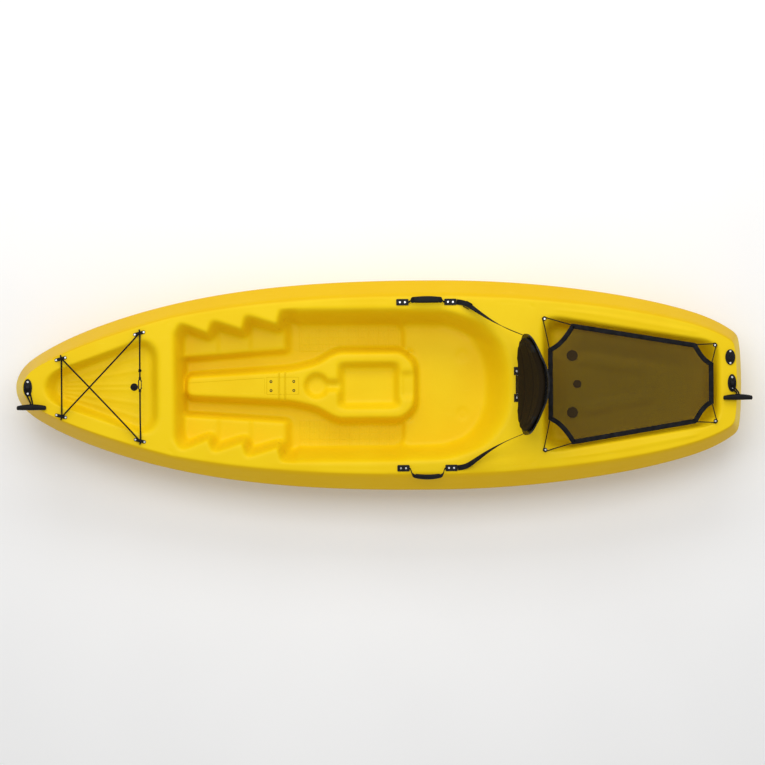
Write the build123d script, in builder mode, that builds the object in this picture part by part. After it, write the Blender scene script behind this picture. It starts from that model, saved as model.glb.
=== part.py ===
"""Sit-on-top kayak: one hollow moulded hull with its deck fittings, seat back and stowage cover.

Frame: +X towards the stern, +Y to starboard, +Z up, origin at the middle of the flat keel panel.
All sizes are millimetres.
"""

from math import cos, radians, sin, tan
import os

from build123d import *

os.makedirs("parts", exist_ok=True)

# ---------------------------------------------------------------- overall sizes
length = 2740.0
beam = 790.0
deck_z = 290.0  # height of the side decks above the keel
beam_z = deck_z - 75.0  # height at which the hull is widest
wall = 4.0  # thickness of the moulded shell
fit = 0.05  # clearance all round a piece that sits in or turns in another
gap = 0.5  # clearance between pieces that only pass each other

bow_x = -length / 2
stern_x = length / 2
half_beam = beam / 2

# ---------------------------------------------------------------- deck
bow_rise = 5.0  # degrees that the fore deck climbs towards the bow
fore_deck_x = bow_x + 590.0  # where the fore deck starts to climb
shoulder_run = 120.0  # how far the shoulder would come in from the beam by the top outline
shoulder_top_z = deck_z + 70.0
bow_shoulder_run = 50.0
stern_shoulder_run = 52.0

# ---------------------------------------------------------------- bow well
bow_well_start = 126.0  # behind the bow
bow_well_length = 418.0
bow_well_rear_half = 184.0
bow_well_nose_half = 62.0
bow_well_depth = 50.0

# ---------------------------------------------------------------- cockpit
cockpit_half = 284.0  # half width at deck level
leg_floor_z = 115.0
leg_floor_half = 232.0
leg_front_x = -369.0
leg_rear_x = 100.0
terrace_z = 168.0  # floor of the foot rests
terrace_front_x = -745.0
trough_front_x = -735.0
trough_front_half = 100.0
trough_rear_half = 128.0
seat_z = 135.0
seat_rear_x = 502.0
seat_floor_rear_x = 400.0
wall_lean = 22.0  # how far a foot rest's wall comes in between the deck and its floor

# ---------------------------------------------------------------- centre ridge and tray
ridge_z = 195.0
ridge_front_x = -729.0
ridge_front_half = 37.0
ridge_neck_x = -330.0
ridge_neck_half = 60.0
block_front_x = -150.0
block_rear_x = 134.0
block_half = 127.0
block_corner = 45.0
tray_front_x = -158.0
tray_rear_x = 84.0
tray_half = 86.0
tray_depth = 45.0
tray_lean = 28.0
cup_x = -235.0
cup_rim_r = 47.0
cup_floor_r = 36.5
cup_depth = 55.0
cup_channel_half = 17.5
cup_channel_depth = 24.0

# ---------------------------------------------------------------- tank well
tank_front_x = 617.0
tank_rear_from_stern = 93.0
tank_front_half = 258.0
tank_rear_half = 157.0
tank_floor_z = 175.0
tank_lean = 36.0
tank_corner = 62.0

# ---------------------------------------------------------------- fittings on the hull
insert_spacing_x = 86.4
insert_spacing_y = 34.2
insert_x = -364.8  # middle of the four accessory inserts
insert_bore_r = 2.5
insert_r = 4.2
insert_flange_r = 5.2
insert_flange = 0.8
insert_depth = 14.0

screw_head_r = 3.6
screw_head = 1.6
screw_shank_r = 2.0
screw_length = 16.0

cord_r = 3.0  # handle cords and bow bungee
elastic_r = 2.0  # elastic at the corners of the stowage cover
webbing_width = 22.0
webbing_thick = 2.2

bow_handle_from_bow = 62.0
stern_handle_from_stern = 46.0
pad_half_length = 33.0
pad_half_width = 16.0
pad_thick = 4.0
pad_screw_half = 21.8
arch_inner_r = 8.0
arch_outer_r = 13.5
arch_half = 5.0
leg_half = arch_half + cord_r + 0.6  # half the distance between a handle cord's two legs at the pad eye
leg_half_at_toggle = cord_r + gap
leg_turn = 17.0  # how far the legs run straight before they close up
toggle_half = 55.0
toggle_r = 11.5
toggle_end_r = 7.0
toggle_height = 13.0  # middle of a toggle above the deck
bow_toggle_reach = 74.0  # from the pad eye to the middle of the bow toggle
stern_toggle_reach = 54.0
bow_toggle_offset = 14.0  # how far aft of its pad eye a toggle lies
stern_toggle_offset = 20.0

plate_length = 46.0
plate_width = 24.0
plate_thick = 3.0
plate_screw_half = 9.4
handle_y = 311.0
handle_front_x = 91.0
handle_rear_x = 271.0
handle_pivot = 5.0  # height of a carry handle's pivot line above the deck
handle_bar_r = 4.0
handle_end_gap = handle_bar_r + gap  # so that the strap ends clear their plates as they turn
handle_shoulder = 10.0
grip_half = 46.0
grip_r = 11.5
handle_rise = 44.0  # from the pivot line to the middle of the grip
handle_angles = {"starboard": 80.0, "port": 45.0}  # above the deck, measured from outboard

eye_half = 23.0
eye_half_width = 6.0
eye_thick = 2.5
eye_bar = 4.0
eye_bar_half = 3.0
eye_post = 3.5
eye_opening_half = 7.5
eye_screw_half = 17.5
eye_toe = 15.0  # degrees that each pad eye turns to follow the gunwale
front_eye_from_bow = 184.0
front_eye_y = 107.0
rear_eye_from_bow = 475.0
rear_eye_y = 201.0
crossing_lift = 3.6  # each diagonal passes this far above or below the level at the crossing
knot_y = 62.0
knot_r = cord_r + 3.5
hook_y = 9.0
hook_half = 20.0
hook_half_width = 7.0
hook_bar = 4.0
hook_thick = 5.0
hook_gate_half = 8.0
ferrule_r = cord_r + 1.6
ferrule_length = 9.0

bow_scupper_from_bow = 450.0
bow_scupper_r = 10.0
tank_scupper_x = 735.0
tank_scupper_y = 108.0
tank_scupper_r = 17.0
tank_middle_scupper_x = 754.0
middle_scupper_r = 11.5
plug_flange = 4.0  # how far a scupper plug's flange covers the floor round its hole
plug_flange_thick = 3.0
plug_depth = 18.0
plug_knob = 7.0

drain_from_stern = 52.0
drain_y = 97.0
drain_half_x = 18.5  # half sizes of the drain housing's flange
drain_half_y = 29.0
drain_bore_r = 10.0
drain_neck_r = drain_bore_r + 3.0
drain_neck = 14.0
drain_flange = 4.0
drain_head_r = drain_bore_r + 3.5
drain_head = 5.0
drain_grip = 5.0
seal_thick = 2.0
drain_screw_half = 22.0

cover_front_x = 635.0
cover_front_half = 134.0
cover_shoulder_x = 725.0
cover_shoulder_y = 227.0
cover_hip_from_stern = 179.0
cover_hip_y = 150.0
cover_rear_from_stern = 115.0
cover_rear_half = 77.0
cover_scoop = 12.0  # how far each cut corner curves in
cover_thick = 1.6
binding_width = 18.0
binding_thick = 4.0
binding_lift = 1.0
stud_front_x = 623.0
stud_front_y = 245.0
stud_rear_from_stern = 110.0
stud_rear_y = 142.0
stud_r = 4.0
stud_head_r = 7.0
stud_head = 3.0
stud_height = 9.0

back_x = 519.0  # hinge line of the seat back
hinge_height = 10.0  # of the hinge line above the deck
hinge_pin_r = 3.0
hinge_knuckle_r = 6.0
hinge_tab_half = 34.5
hinge_base_half = 65.5
hinge_base_half_width = 12.0
hinge_base_thick = 2.0
hinge_screw_y = 50.0
back_foot = 14.0  # height of the shell's lower edge above the hinge line
back_height = 214.0
back_thick = 6.0
back_pad = 16.0
pad_gap = 1.5  # between the shell and the pad strapped to it
back_stations = (  # share of the height, then how far aft, how far its ends wrap forward, half width, pad's
    (0.00, 6.0, 4.0, 118.0, 0.0),
    (0.12, 16.0, 6.0, 150.0, 108.0),
    (0.40, 44.0, 28.0, 183.0, 166.0),
    (0.70, 76.0, 42.0, 180.0, 167.0),
    (0.92, 94.0, 38.0, 140.0, 126.0),
    (1.00, 100.0, 26.0, 96.0, 0.0),
)
strap_route = (  # along, outboard, above the deck, and degrees from lying flat
    (318.0, 307.0, 5.0, 10.0),
    (352.0, 288.0, 24.0, 35.0),
    (405.0, 250.0, 50.0, 65.0),
    (470.0, 212.0, 77.0, 90.0),
)
buckle_half = 15.0
buckle_half_width = 13.0
buckle_thick = 7.0
buckle_slot = 6.0


# ---------------------------------------------------------------- helpers
def deck_height(x):
    """Height of the deck surface at x."""
    return deck_z + max(0.0, fore_deck_x - x) * tan(radians(bow_rise))


def deck_plane(x, y, turn=0.0):
    """A plane on the deck at (x, y), its Z square to the deck, turned about that Z."""
    slope = radians(bow_rise if x < fore_deck_x else 0.0)
    along = Vector(cos(slope), 0, -sin(slope)) * cos(radians(turn)) + Vector(0, 1, 0) * sin(radians(turn))
    up = (sin(slope), 0, cos(slope))
    return Plane(origin=(x, y, deck_height(x)), x_dir=along, z_dir=up)


def hull_outline(height, bow, stern, half):
    """The hull's outline in plan at one height: two sides, two quarters and a transom."""
    span = stern - bow
    shape = (
        (0.008, 0.167), (0.036, 0.33), (0.118, 0.59), (0.228, 0.805), (0.370, 0.95),
        (0.530, 1.0), (0.643, 0.99), (0.804, 0.88), (0.915, 0.72), (0.985, 0.515),
    )
    side = [(bow + share * span, half * width) for share, width in shape]
    quarter = (stern - 0.0025 * span, half * 0.37)
    corner = (stern - 0.0062 * span, half * 0.46)
    with BuildSketch(Plane.XY.offset(height)) as outline:
        with BuildLine():
            Spline(side)
            ThreePointArc(side[-1], corner, quarter)
            mirror(about=Plane.XZ)
            ThreePointArc(side[0], (bow, 0), (side[0][0], -side[0][1]))
            ThreePointArc(quarter, (stern, 0), (quarter[0], -quarter[1]))
        make_face()
    return outline.sketch


def hull_body(inset):
    """The hull's outer form, or the same form drawn in by inset, up to the deck."""
    waterlines = (
        (0.0, 420.0, 250.0, half_beam * 0.40),
        (36.0, 205.0, 105.0, half_beam * 0.74),
        (105.0, 82.0, 38.0, half_beam * 0.92),
        (beam_z, 0.0, 0.0, half_beam),
        (shoulder_top_z, bow_shoulder_run, stern_shoulder_run, half_beam - shoulder_run),
    )
    levels = []
    for height, bow_in, stern_in, half in waterlines:
        rise = inset if height < beam_z else 0.0
        levels.append(
            hull_outline(height + rise, bow_x + bow_in + inset, stern_x - stern_in - inset, half - inset)
        )
    top = deck_z - inset
    run = 1.2 * (fore_deck_x - bow_x)
    ceiling = shoulder_top_z + 100.0
    with BuildPart() as body:
        loft(levels, ruled=True)
        with BuildSketch(Plane.XZ):
            with BuildLine():
                Polyline(
                    (stern_x + 50, top), (fore_deck_x, top),
                    (fore_deck_x - run, top + run * tan(radians(bow_rise))),
                    (fore_deck_x - run, ceiling), (stern_x + 50, ceiling), close=True,
                )
            make_face()
        extrude(amount=beam, both=True, mode=Mode.SUBTRACT)
    return body.part


def mirrored(points):
    """A closed outline from its starboard half, which runs from bow to stern."""
    return list(points) + [(x, -y) for x, y in reversed(points)]


def recess(floor, rim, floor_z, rim_z, grow, corner=0.0):
    """The space of a leaning-walled recess; grow makes it larger all round, for the wall behind it."""
    with BuildPart() as space:
        for outline, height in ((floor, floor_z - grow), (rim, rim_z), (rim, rim_z + 120.0)):
            with BuildSketch(Plane.XY.offset(height)) as level:
                with BuildLine():
                    Polyline(*outline, close=True)
                make_face()
                if corner:
                    fillet(level.vertices(), corner)
                if grow:
                    offset(amount=grow, kind=Kind.ARC if corner else Kind.INTERSECTION)
        loft(ruled=True)
    return space.part


def bow_well(grow):
    start = bow_x + bow_well_start
    end = start + bow_well_length
    rim = mirrored([
        (start, 20.0), (start + 28.0, bow_well_nose_half), (end - 45.0, bow_well_rear_half), (end, 140.0),
    ])
    floor = mirrored([
        (start + 26.0, 14.0), (start + 48.0, bow_well_nose_half - 20.0),
        (end - 60.0, bow_well_rear_half - 26.0), (end - 26.0, 120.0),
    ])
    middle = deck_height((start + end) / 2)
    return recess(floor, rim, middle - bow_well_depth - 10.0, middle + 12.0, grow)


def cockpit(grow):
    """Foot rests, foot troughs, leg wells and seat, as one space."""
    zigzag = [
        (terrace_front_x - 23.0, 200.0), (terrace_front_x, 239.0), (-642.0, 196.0), (-625.0, 248.0),
        (-512.0, 208.0), (-499.0, 266.0), (-379.0, 226.0), (leg_front_x, cockpit_half), (-300.0, cockpit_half),
    ]
    terrace = [(x + 12.0, y - wall_lean) for x, y in zigzag]
    trough = [
        (trough_front_x, trough_front_half), (leg_front_x + 45.0, trough_rear_half), (leg_rear_x, trough_rear_half),
    ]
    trough_rim = [(trough_front_x - 6.0, trough_front_half + 8.0)] + [(x + 6.0, y + 8.0) for x, y in trough[1:]]
    legs = [(leg_front_x + 55.0, leg_floor_half), (leg_rear_x, leg_floor_half)]
    leg_rim = [(leg_front_x, cockpit_half), (leg_rear_x + 20.0, cockpit_half)]
    seat = [
        (leg_rear_x - 20.0, leg_floor_half), (250.0, 226.0), (330.0, 196.0), (382.0, 130.0),
        (seat_floor_rear_x, 50.0),
    ]
    seat_rim = [
        (leg_rear_x - 40.0, cockpit_half), (260.0, cockpit_half - 4.0), (400.0, 236.0), (476.0, 150.0),
        (seat_rear_x, 60.0),
    ]
    with BuildPart() as space:
        add(recess(mirrored(terrace), mirrored(zigzag), terrace_z, deck_z, grow))
        add(recess(mirrored(trough), mirrored(trough_rim), leg_floor_z, terrace_z + 10.0, grow))
        add(recess(mirrored(legs), mirrored(leg_rim), leg_floor_z, deck_z, grow))
        add(recess(mirrored(seat), mirrored(seat_rim), seat_z, deck_z, grow))
    return space.part


def tank_well(grow):
    rear = stern_x - tank_rear_from_stern
    rim = mirrored([(tank_front_x, tank_front_half), (rear, tank_rear_half)])
    floor = mirrored([
        (tank_front_x + tank_lean, tank_front_half - tank_lean),
        (rear - tank_lean, tank_rear_half - tank_lean),
    ])
    return recess(floor, rim, tank_floor_z, deck_z, grow, tank_corner)


def ridge(shrink):
    """The centre ridge and tray block between the leg wells; shrink gives the hollow under them."""
    outline = mirrored([
        (ridge_front_x, ridge_front_half), (ridge_neck_x, ridge_neck_half), (cup_x, 82.0),
        (block_front_x - 30.0, block_half - 12.0), (block_front_x, block_half),
        (block_rear_x - block_corner, block_half), (block_rear_x, block_half - block_corner),
    ])
    foot_z = leg_floor_z - 3 * wall
    with BuildPart() as block:
        with BuildSketch(Plane.XY.offset(foot_z)):
            with BuildLine():
                Polyline(*outline, close=True)
            make_face()
            if shrink:
                offset(amount=-shrink, kind=Kind.INTERSECTION)
        extrude(amount=ridge_z - shrink - foot_z)
    return block.part


def tray(grow):
    """The tray, the cup recess and the channel that joins them, as one space."""
    rim = mirrored([(tray_front_x, tray_half), (tray_rear_x, tray_half)])
    floor = mirrored([(tray_front_x + tray_lean, tray_half - 16.0), (tray_rear_x - tray_lean, tray_half - 16.0)])
    with BuildPart() as space:
        add(recess(floor, rim, ridge_z - tray_depth, ridge_z, grow, 14.0))
        with BuildSketch(Plane.XY.offset(ridge_z - cup_depth - grow)):
            with Locations((cup_x, 0)):
                Circle(cup_floor_r + grow)
        with BuildSketch(Plane.XY.offset(ridge_z)):
            with Locations((cup_x, 0)):
                Circle(cup_rim_r + grow)
        loft(ruled=True)
        with BuildSketch(Plane.XY.offset(ridge_z - cup_channel_depth - grow)):
            with Locations(((cup_x + tray_front_x) / 2 + 10.0, 0)):
                Rectangle(tray_front_x - cup_x + 20.0, 2 * (cup_channel_half + grow))
        extrude(amount=cup_channel_depth + grow)
    return space.part


def screws(seats):
    """Pan-head screws, one at each plane, which is the face that its head bears on."""
    with BuildPart() as group:
        for seat in seats:
            with BuildSketch(seat):
                Circle(screw_head_r)
            extrude(amount=screw_head)
            with BuildSketch(seat):
                Circle(screw_shank_r)
            extrude(amount=-screw_length)
    return group.part


def lifted(plane, x, y, z):
    """The plane moved to the point (x, y, z) of its own axes."""
    return Plane(origin=plane.from_local_coords((x, y, z)), x_dir=plane.x_dir, z_dir=plane.z_dir)


def drill(plane, spots, radius, depth):
    """Cylinders down from a plane, to cut the holes at these spots of it."""
    with BuildPart() as holes:
        with BuildSketch(plane):
            with Locations(*spots):
                Circle(radius)
        extrude(amount=-depth)
    return holes.part


def tube(points, bends, radius):
    """A round bar or cord along straight runs joined by tangent arcs."""
    with BuildPart() as bar:
        with BuildLine() as route:
            FilletPolyline(*points, radius=bends)
        with BuildSketch(Plane(origin=route.line @ 0, z_dir=route.line % 0)):
            Circle(radius)
        sweep()
    return bar.part


def finish(piece, name):
    """Labels a finished piece and writes it out."""
    piece.label = name
    export_step(piece, f"parts/{name}.step")


# ---------------------------------------------------------------- places that several pieces share
insert_spots = [
    (insert_x + i * insert_spacing_x / 2, j * insert_spacing_y / 2) for i in (-1, 1) for j in (-1, 1)
]
bow_pad = deck_plane(bow_x + bow_handle_from_bow, 0)
stern_pad = deck_plane(stern_x - stern_handle_from_stern, 0)
pad_spots = [(0, pad_screw_half), (0, -pad_screw_half)]
plates = {
    f"{side}_handle_plate_{end}": deck_plane(x, hand * handle_y)
    for side, hand in (("starboard", 1), ("port", -1))
    for end, x in (("front", handle_front_x), ("rear", handle_rear_x))
}
plate_spots = [(plate_screw_half, 0), (-plate_screw_half, 0)]
eyes = {
    f"bungee_pad_eye_{end}_{side}": deck_plane(bow_x + aft, hand * y, hand * eye_toe)
    for end, aft, y in (("front", front_eye_from_bow, front_eye_y), ("rear", rear_eye_from_bow, rear_eye_y))
    for side, hand in (("starboard", 1), ("port", -1))
}
eye_spots = [(eye_screw_half, 0), (-eye_screw_half, 0)]
studs = {
    f"{end}_{side}": deck_plane(x, hand * y)
    for end, x, y in (("front", stud_front_x, stud_front_y), ("rear", stern_x - stud_rear_from_stern, stud_rear_y))
    for side, hand in (("starboard", 1), ("port", -1))
}
hinge_base = deck_plane(back_x, 0)
hinge_spots = [(-1.0, hinge_screw_y), (-1.0, -hinge_screw_y)]
hinge_z = deck_z + hinge_height
drain = deck_plane(stern_x - drain_from_stern, drain_y)
drain_spots = [(0, drain_screw_half), (0, -drain_screw_half)]
bow_floor_z = deck_height(bow_x + bow_well_start + bow_well_length / 2) - bow_well_depth - 10.0
scuppers = {
    "bow_scupper_plug": (bow_x + bow_scupper_from_bow, 0.0, bow_scupper_r, bow_floor_z),
    "tank_scupper_plug_starboard": (tank_scupper_x, tank_scupper_y, tank_scupper_r, tank_floor_z),
    "tank_scupper_plug_port": (tank_scupper_x, -tank_scupper_y, tank_scupper_r, tank_floor_z),
    "tank_scupper_plug_middle": (tank_middle_scupper_x, 0.0, middle_scupper_r, tank_floor_z),
}

# each group of screws: the planes of its holes in the deck, their spots, and how thick the piece under the heads is
screw_groups = {
    "bow_pad_eye_screws": ([bow_pad], pad_spots, pad_thick),
    "stern_pad_eye_rivets": ([stern_pad], pad_spots, pad_thick),
    "carry_handle_screws": (list(plates.values()), plate_spots, plate_thick),
    "bungee_pad_eye_screws": (list(eyes.values()), eye_spots, eye_thick),
    "cover_stud_screws": (list(studs.values()), [(0, 0)], stud_height),
    "backrest_hinge_screws": ([hinge_base], hinge_spots, hinge_base_thick),
    "drain_housing_screws": ([drain], drain_spots, drain_flange),
}

# ---------------------------------------------------------------- hull
with BuildPart() as hollow:
    add(hull_body(wall))
    for space in (bow_well(wall), cockpit(wall), tank_well(wall)):
        add(space, mode=Mode.SUBTRACT)
    add(ridge(wall))
    add(tray(wall), mode=Mode.SUBTRACT)
    for x, y, r, floor in scuppers.values():
        add(drill(Plane.XY.offset(deck_z + 60.0), [(x, y)], r + wall, deck_z + 60.0), mode=Mode.SUBTRACT)
    add(drill(Plane.XY.offset(ridge_z), insert_spots, insert_r + wall, insert_depth + wall), mode=Mode.SUBTRACT)

with BuildPart() as hull:
    add(hull_body(0.0))
    for space in (bow_well(0.0), cockpit(0.0), tank_well(0.0)):
        add(space, mode=Mode.SUBTRACT)
    add(ridge(0.0))
    add(tray(0.0), mode=Mode.SUBTRACT)
    add(hollow.part, mode=Mode.SUBTRACT)
    for x, y, r, floor in scuppers.values():
        add(drill(Plane.XY.offset(deck_z + 60.0), [(x, y)], r, deck_z + 60.0), mode=Mode.SUBTRACT)
    add(drill(Plane.XY.offset(ridge_z), insert_spots, insert_r + fit, insert_depth), mode=Mode.SUBTRACT)
    add(drill(drain, [(0, 0)], drain_neck_r + fit, 3 * wall), mode=Mode.SUBTRACT)
    for planes, spots, thick in screw_groups.values():
        for plane in planes:
            add(drill(plane, spots, screw_shank_r, screw_length - thick), mode=Mode.SUBTRACT)
finish(hull.part, "hull")

with BuildPart() as accessory_inserts:
    with BuildSketch(Plane.XY.offset(ridge_z)):
        with Locations(*insert_spots):
            Circle(insert_flange_r)
    extrude(amount=insert_flange)
    with BuildSketch(Plane.XY.offset(ridge_z)):
        with Locations(*insert_spots):
            Circle(insert_r)
    extrude(amount=-insert_depth + gap)
    add(
        drill(Plane.XY.offset(ridge_z + insert_flange), insert_spots, insert_bore_r, insert_depth - 1.0),
        mode=Mode.SUBTRACT,
    )
finish(accessory_inserts.part, "accessory_inserts")

for name, (planes, spots, thick) in screw_groups.items():
    seats = [lifted(plane, x, y, thick) for plane in planes for x, y in spots]
    finish(screws(seats), name)


# ---------------------------------------------------------------- bow and stern carry toggles
def pad_eye(plane):
    """A lens-shaped base with two screw holes and an arch that a cord passes under."""
    across = Plane(origin=plane.from_local_coords((0, 0, pad_thick)), x_dir=plane.y_dir, z_dir=plane.x_dir)
    with BuildPart() as eye:
        with BuildSketch(plane):
            Ellipse(pad_half_width, pad_half_length)
        extrude(amount=pad_thick)
        with BuildSketch(across):
            Circle(arch_outer_r)
            Circle(arch_inner_r, mode=Mode.SUBTRACT)
            with Locations((0, -arch_outer_r)):
                Rectangle(3 * arch_outer_r, 2 * arch_outer_r, mode=Mode.SUBTRACT)
        extrude(amount=arch_half, both=True)
        add(drill(lifted(plane, 0, 0, pad_thick), pad_spots, screw_shank_r + fit, pad_thick), mode=Mode.SUBTRACT)
    return eye.part


def handle_cord(plane, reach, shift):
    """A loop that runs under the arch and down to the toggle, whose middle is at (shift, -reach)."""
    low = pad_thick + cord_r + 0.5
    stop = -reach + toggle_r + 6.0
    half = (
        (shift + leg_half_at_toggle, -reach, toggle_height), (shift + leg_half_at_toggle, stop, toggle_height),
        (leg_half, -leg_turn, low), (leg_half, 0, low),
    )
    other = (
        (-leg_half, 0, low), (-leg_half, -leg_turn, low),
        (shift - leg_half_at_toggle, stop, toggle_height), (shift - leg_half_at_toggle, -reach, toggle_height),
    )
    points = [plane.from_local_coords(p) for p in half + other]
    return tube(points, [9.0, 9.0, 5.0, 5.0, 9.0, 9.0], cord_r)


def toggle(plane, reach, shift):
    """A barrel-shaped handle with two blind holes for the cord's legs."""
    middle = lifted(plane, shift, -reach, toggle_height)
    with BuildPart() as handle:
        with BuildSketch(middle):
            with BuildLine():
                ThreePointArc((-toggle_half, toggle_end_r), (0, toggle_r), (toggle_half, toggle_end_r))
                Polyline(
                    (toggle_half, toggle_end_r), (toggle_half, 0), (-toggle_half, 0), (-toggle_half, toggle_end_r)
                )
            make_face()
        revolve(axis=Axis(middle.origin, middle.x_dir))
        fillet(handle.edges().filter_by(GeomType.CIRCLE), 4.0)
        mouth = Plane(
            origin=middle.from_local_coords((0, toggle_r + 1.0, 0)), x_dir=middle.x_dir, z_dir=middle.y_dir
        )
        spots = [(leg_half_at_toggle, 0), (-leg_half_at_toggle, 0)]
        add(drill(mouth, spots, cord_r + fit, toggle_r + 1.0), mode=Mode.SUBTRACT)
    return handle.part


for name, plane, reach, shift in (
    ("bow", bow_pad, bow_toggle_reach, bow_toggle_offset),
    ("stern", stern_pad, stern_toggle_reach, stern_toggle_offset),
):
    finish(pad_eye(plane), f"{name}_pad_eye")
    finish(handle_cord(plane, reach, shift), f"{name}_handle_cord")
    finish(toggle(plane, reach, shift), f"{name}_toggle")

# ---------------------------------------------------------------- side carry handles
for name, plane in plates.items():
    with BuildPart() as plate:
        with BuildSketch(plane):
            RectangleRounded(plate_length, plate_width, 4.0)
        extrude(amount=plate_thick)
        add(drill(lifted(plane, 0, 0, plate_thick), plate_spots, screw_shank_r + fit, plate_thick),
            mode=Mode.SUBTRACT)
    finish(plate.part, name)

for side, hand in (("starboard", 1), ("port", -1)):
    angle = radians(handle_angles[side])
    out = (0, hand * cos(angle), sin(angle))
    swing = Plane(
        origin=(0, hand * handle_y, deck_z + handle_pivot), x_dir=(1, 0, 0), z_dir=Vector(1, 0, 0).cross(Vector(out))
    )
    front = handle_front_x + plate_length / 2 + handle_end_gap
    rear = handle_rear_x - plate_length / 2 - handle_end_gap
    corners = (
        (front, 0, 0), (front + handle_shoulder, handle_rise, 0),
        (rear - handle_shoulder, handle_rise, 0), (rear, 0, 0),
    )
    bar = tube([swing.from_local_coords(p) for p in corners], [10.0, 10.0], handle_bar_r)
    finish(bar, f"{side}_handle_strap")
    start = Plane(
        origin=swing.from_local_coords(((front + rear) / 2 - grip_half, handle_rise, 0)),
        x_dir=swing.y_dir, z_dir=swing.x_dir,
    )
    with BuildPart() as grip:
        with BuildSketch(start):
            Circle(grip_r)
            Circle(handle_bar_r + fit, mode=Mode.SUBTRACT)
        extrude(amount=2 * grip_half)
        fillet(grip.edges().filter_by(GeomType.CIRCLE).sort_by(SortBy.RADIUS)[-2:], 3.0)
    finish(grip.part, f"{side}_handle_grip")

# ---------------------------------------------------------------- bow bungee
under_z = eye_thick + gap + cord_r
eye_opening = 2 * cord_r + 2 * gap
over_z = eye_thick + eye_opening + eye_bar + gap + cord_r
hairpin_y = eye_bar_half + 2 * gap + cord_r
hairpin_r = (over_z - under_z) / 2 - 0.05

for name, plane in eyes.items():
    along = Plane(origin=plane.origin, x_dir=plane.x_dir, z_dir=-plane.y_dir)
    with BuildPart() as eye:
        with BuildSketch(plane):
            SlotOverall(2 * eye_half, 2 * eye_half_width)
        extrude(amount=eye_thick)
        with BuildSketch(along) as arch:
            with Locations((0, (eye_thick + eye_opening + eye_bar) / 2)):
                Rectangle(2 * (eye_opening_half + eye_post), eye_thick + eye_opening + eye_bar)
            fillet(arch.vertices().group_by(Axis.Z)[-1], 3.0)
            with Locations((0, eye_thick + eye_opening / 2)):
                Rectangle(2 * eye_opening_half, eye_opening, mode=Mode.SUBTRACT)
        extrude(amount=eye_bar_half, both=True)
        add(drill(lifted(plane, 0, 0, eye_thick), eye_spots, screw_shank_r + fit, eye_thick), mode=Mode.SUBTRACT)
    finish(eye.part, name)


def hairpin(end, side, hand, height):
    """Where the bungee turns outboard of a pad eye, at this height above the deck."""
    plane = eyes[f"bungee_pad_eye_{end}_{side}"]
    return plane.from_local_coords((eye_opening_half - cord_r - 1.0, hand * hairpin_y, height))


rear_leg = hairpin("rear", "starboard", 1, under_z)
leg_deck = deck_plane(rear_leg.X, 0)
leg_plane = Plane(origin=(rear_leg.X, 0, rear_leg.Z), x_dir=leg_deck.x_dir, z_dir=leg_deck.z_dir)
crossings = [
    lifted(deck_plane(bow_x + 290.0, 0), 0, 0, over_z + way * crossing_lift).origin for way in (1, -1)
]
bungee_points = [
    leg_plane.from_local_coords((0, hook_y + hook_half, 0)),
    rear_leg,
    hairpin("rear", "starboard", 1, over_z),
    crossings[0],
    hairpin("front", "port", -1, over_z),
    hairpin("front", "port", -1, under_z),
    hairpin("front", "starboard", 1, under_z),
    hairpin("front", "starboard", 1, over_z),
    crossings[1],
    hairpin("rear", "port", -1, over_z),
    hairpin("rear", "port", -1, under_z),
    leg_plane.from_local_coords((0, hook_y - hook_half, 0)),
]
turn = hairpin_r
hook_end = hook_half + ferrule_length - 1.0
bungee = tube(bungee_points, [turn, turn, 150.0, turn, turn, turn, turn, 150.0, turn, turn], cord_r)
finish(bungee, "bow_bungee")

with BuildPart() as bungee_knot:
    with Locations(leg_plane.from_local_coords((0, knot_y, 0))):
        Sphere(knot_r)
    add(
        drill(Plane(origin=leg_plane.from_local_coords((0, knot_y + 10, 0)), z_dir=leg_plane.y_dir), [(0, 0)],
              cord_r + fit, 20.0),
        mode=Mode.SUBTRACT,
    )
finish(bungee_knot.part, "bungee_knot")

hook_plane = lifted(leg_plane, 0, hook_y, -hook_thick / 2)
gate_x = hook_half_width - hook_bar / 2
with BuildPart() as bungee_hook:
    with BuildSketch(hook_plane):
        SlotOverall(2 * hook_half, 2 * hook_half_width, rotation=90)
        SlotOverall(2 * (hook_half - hook_bar), 2 * (hook_half_width - hook_bar), rotation=90, mode=Mode.SUBTRACT)
        with Locations((gate_x, 0)):
            Rectangle(hook_bar + 1.0, 2 * hook_gate_half + 2 * gap, mode=Mode.SUBTRACT)
    extrude(amount=hook_thick)
    for way in (1, -1):
        ferrule = Plane(
            origin=leg_plane.from_local_coords((0, hook_y + way * (hook_half - 1.0), 0)),
            z_dir=way * leg_plane.y_dir,
        )
        with BuildSketch(ferrule):
            Circle(ferrule_r)
        extrude(amount=ferrule_length)
    add(
        drill(Plane(origin=leg_plane.from_local_coords((0, hook_y + hook_end + 1, 0)), z_dir=leg_plane.y_dir),
              [(0, 0)], cord_r + fit, hook_end - hook_half + 1.0),
        mode=Mode.SUBTRACT,
    )
    add(
        drill(Plane(origin=leg_plane.from_local_coords((0, hook_y - hook_end - 1, 0)), z_dir=-leg_plane.y_dir),
              [(0, 0)], cord_r + fit, hook_end - hook_half + 1.0),
        mode=Mode.SUBTRACT,
    )
finish(bungee_hook.part, "bungee_hook")

with BuildPart() as bungee_hook_gate:
    with BuildSketch(hook_plane):
        with Locations((gate_x, 0)):
            Rectangle(hook_bar - 1.0, 2 * hook_gate_half)
    extrude(amount=hook_thick)
    fillet(bungee_hook_gate.edges().filter_by(Axis(hook_plane.origin, hook_plane.z_dir)), 1.0)
finish(bungee_hook_gate.part, "bungee_hook_gate")

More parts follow.
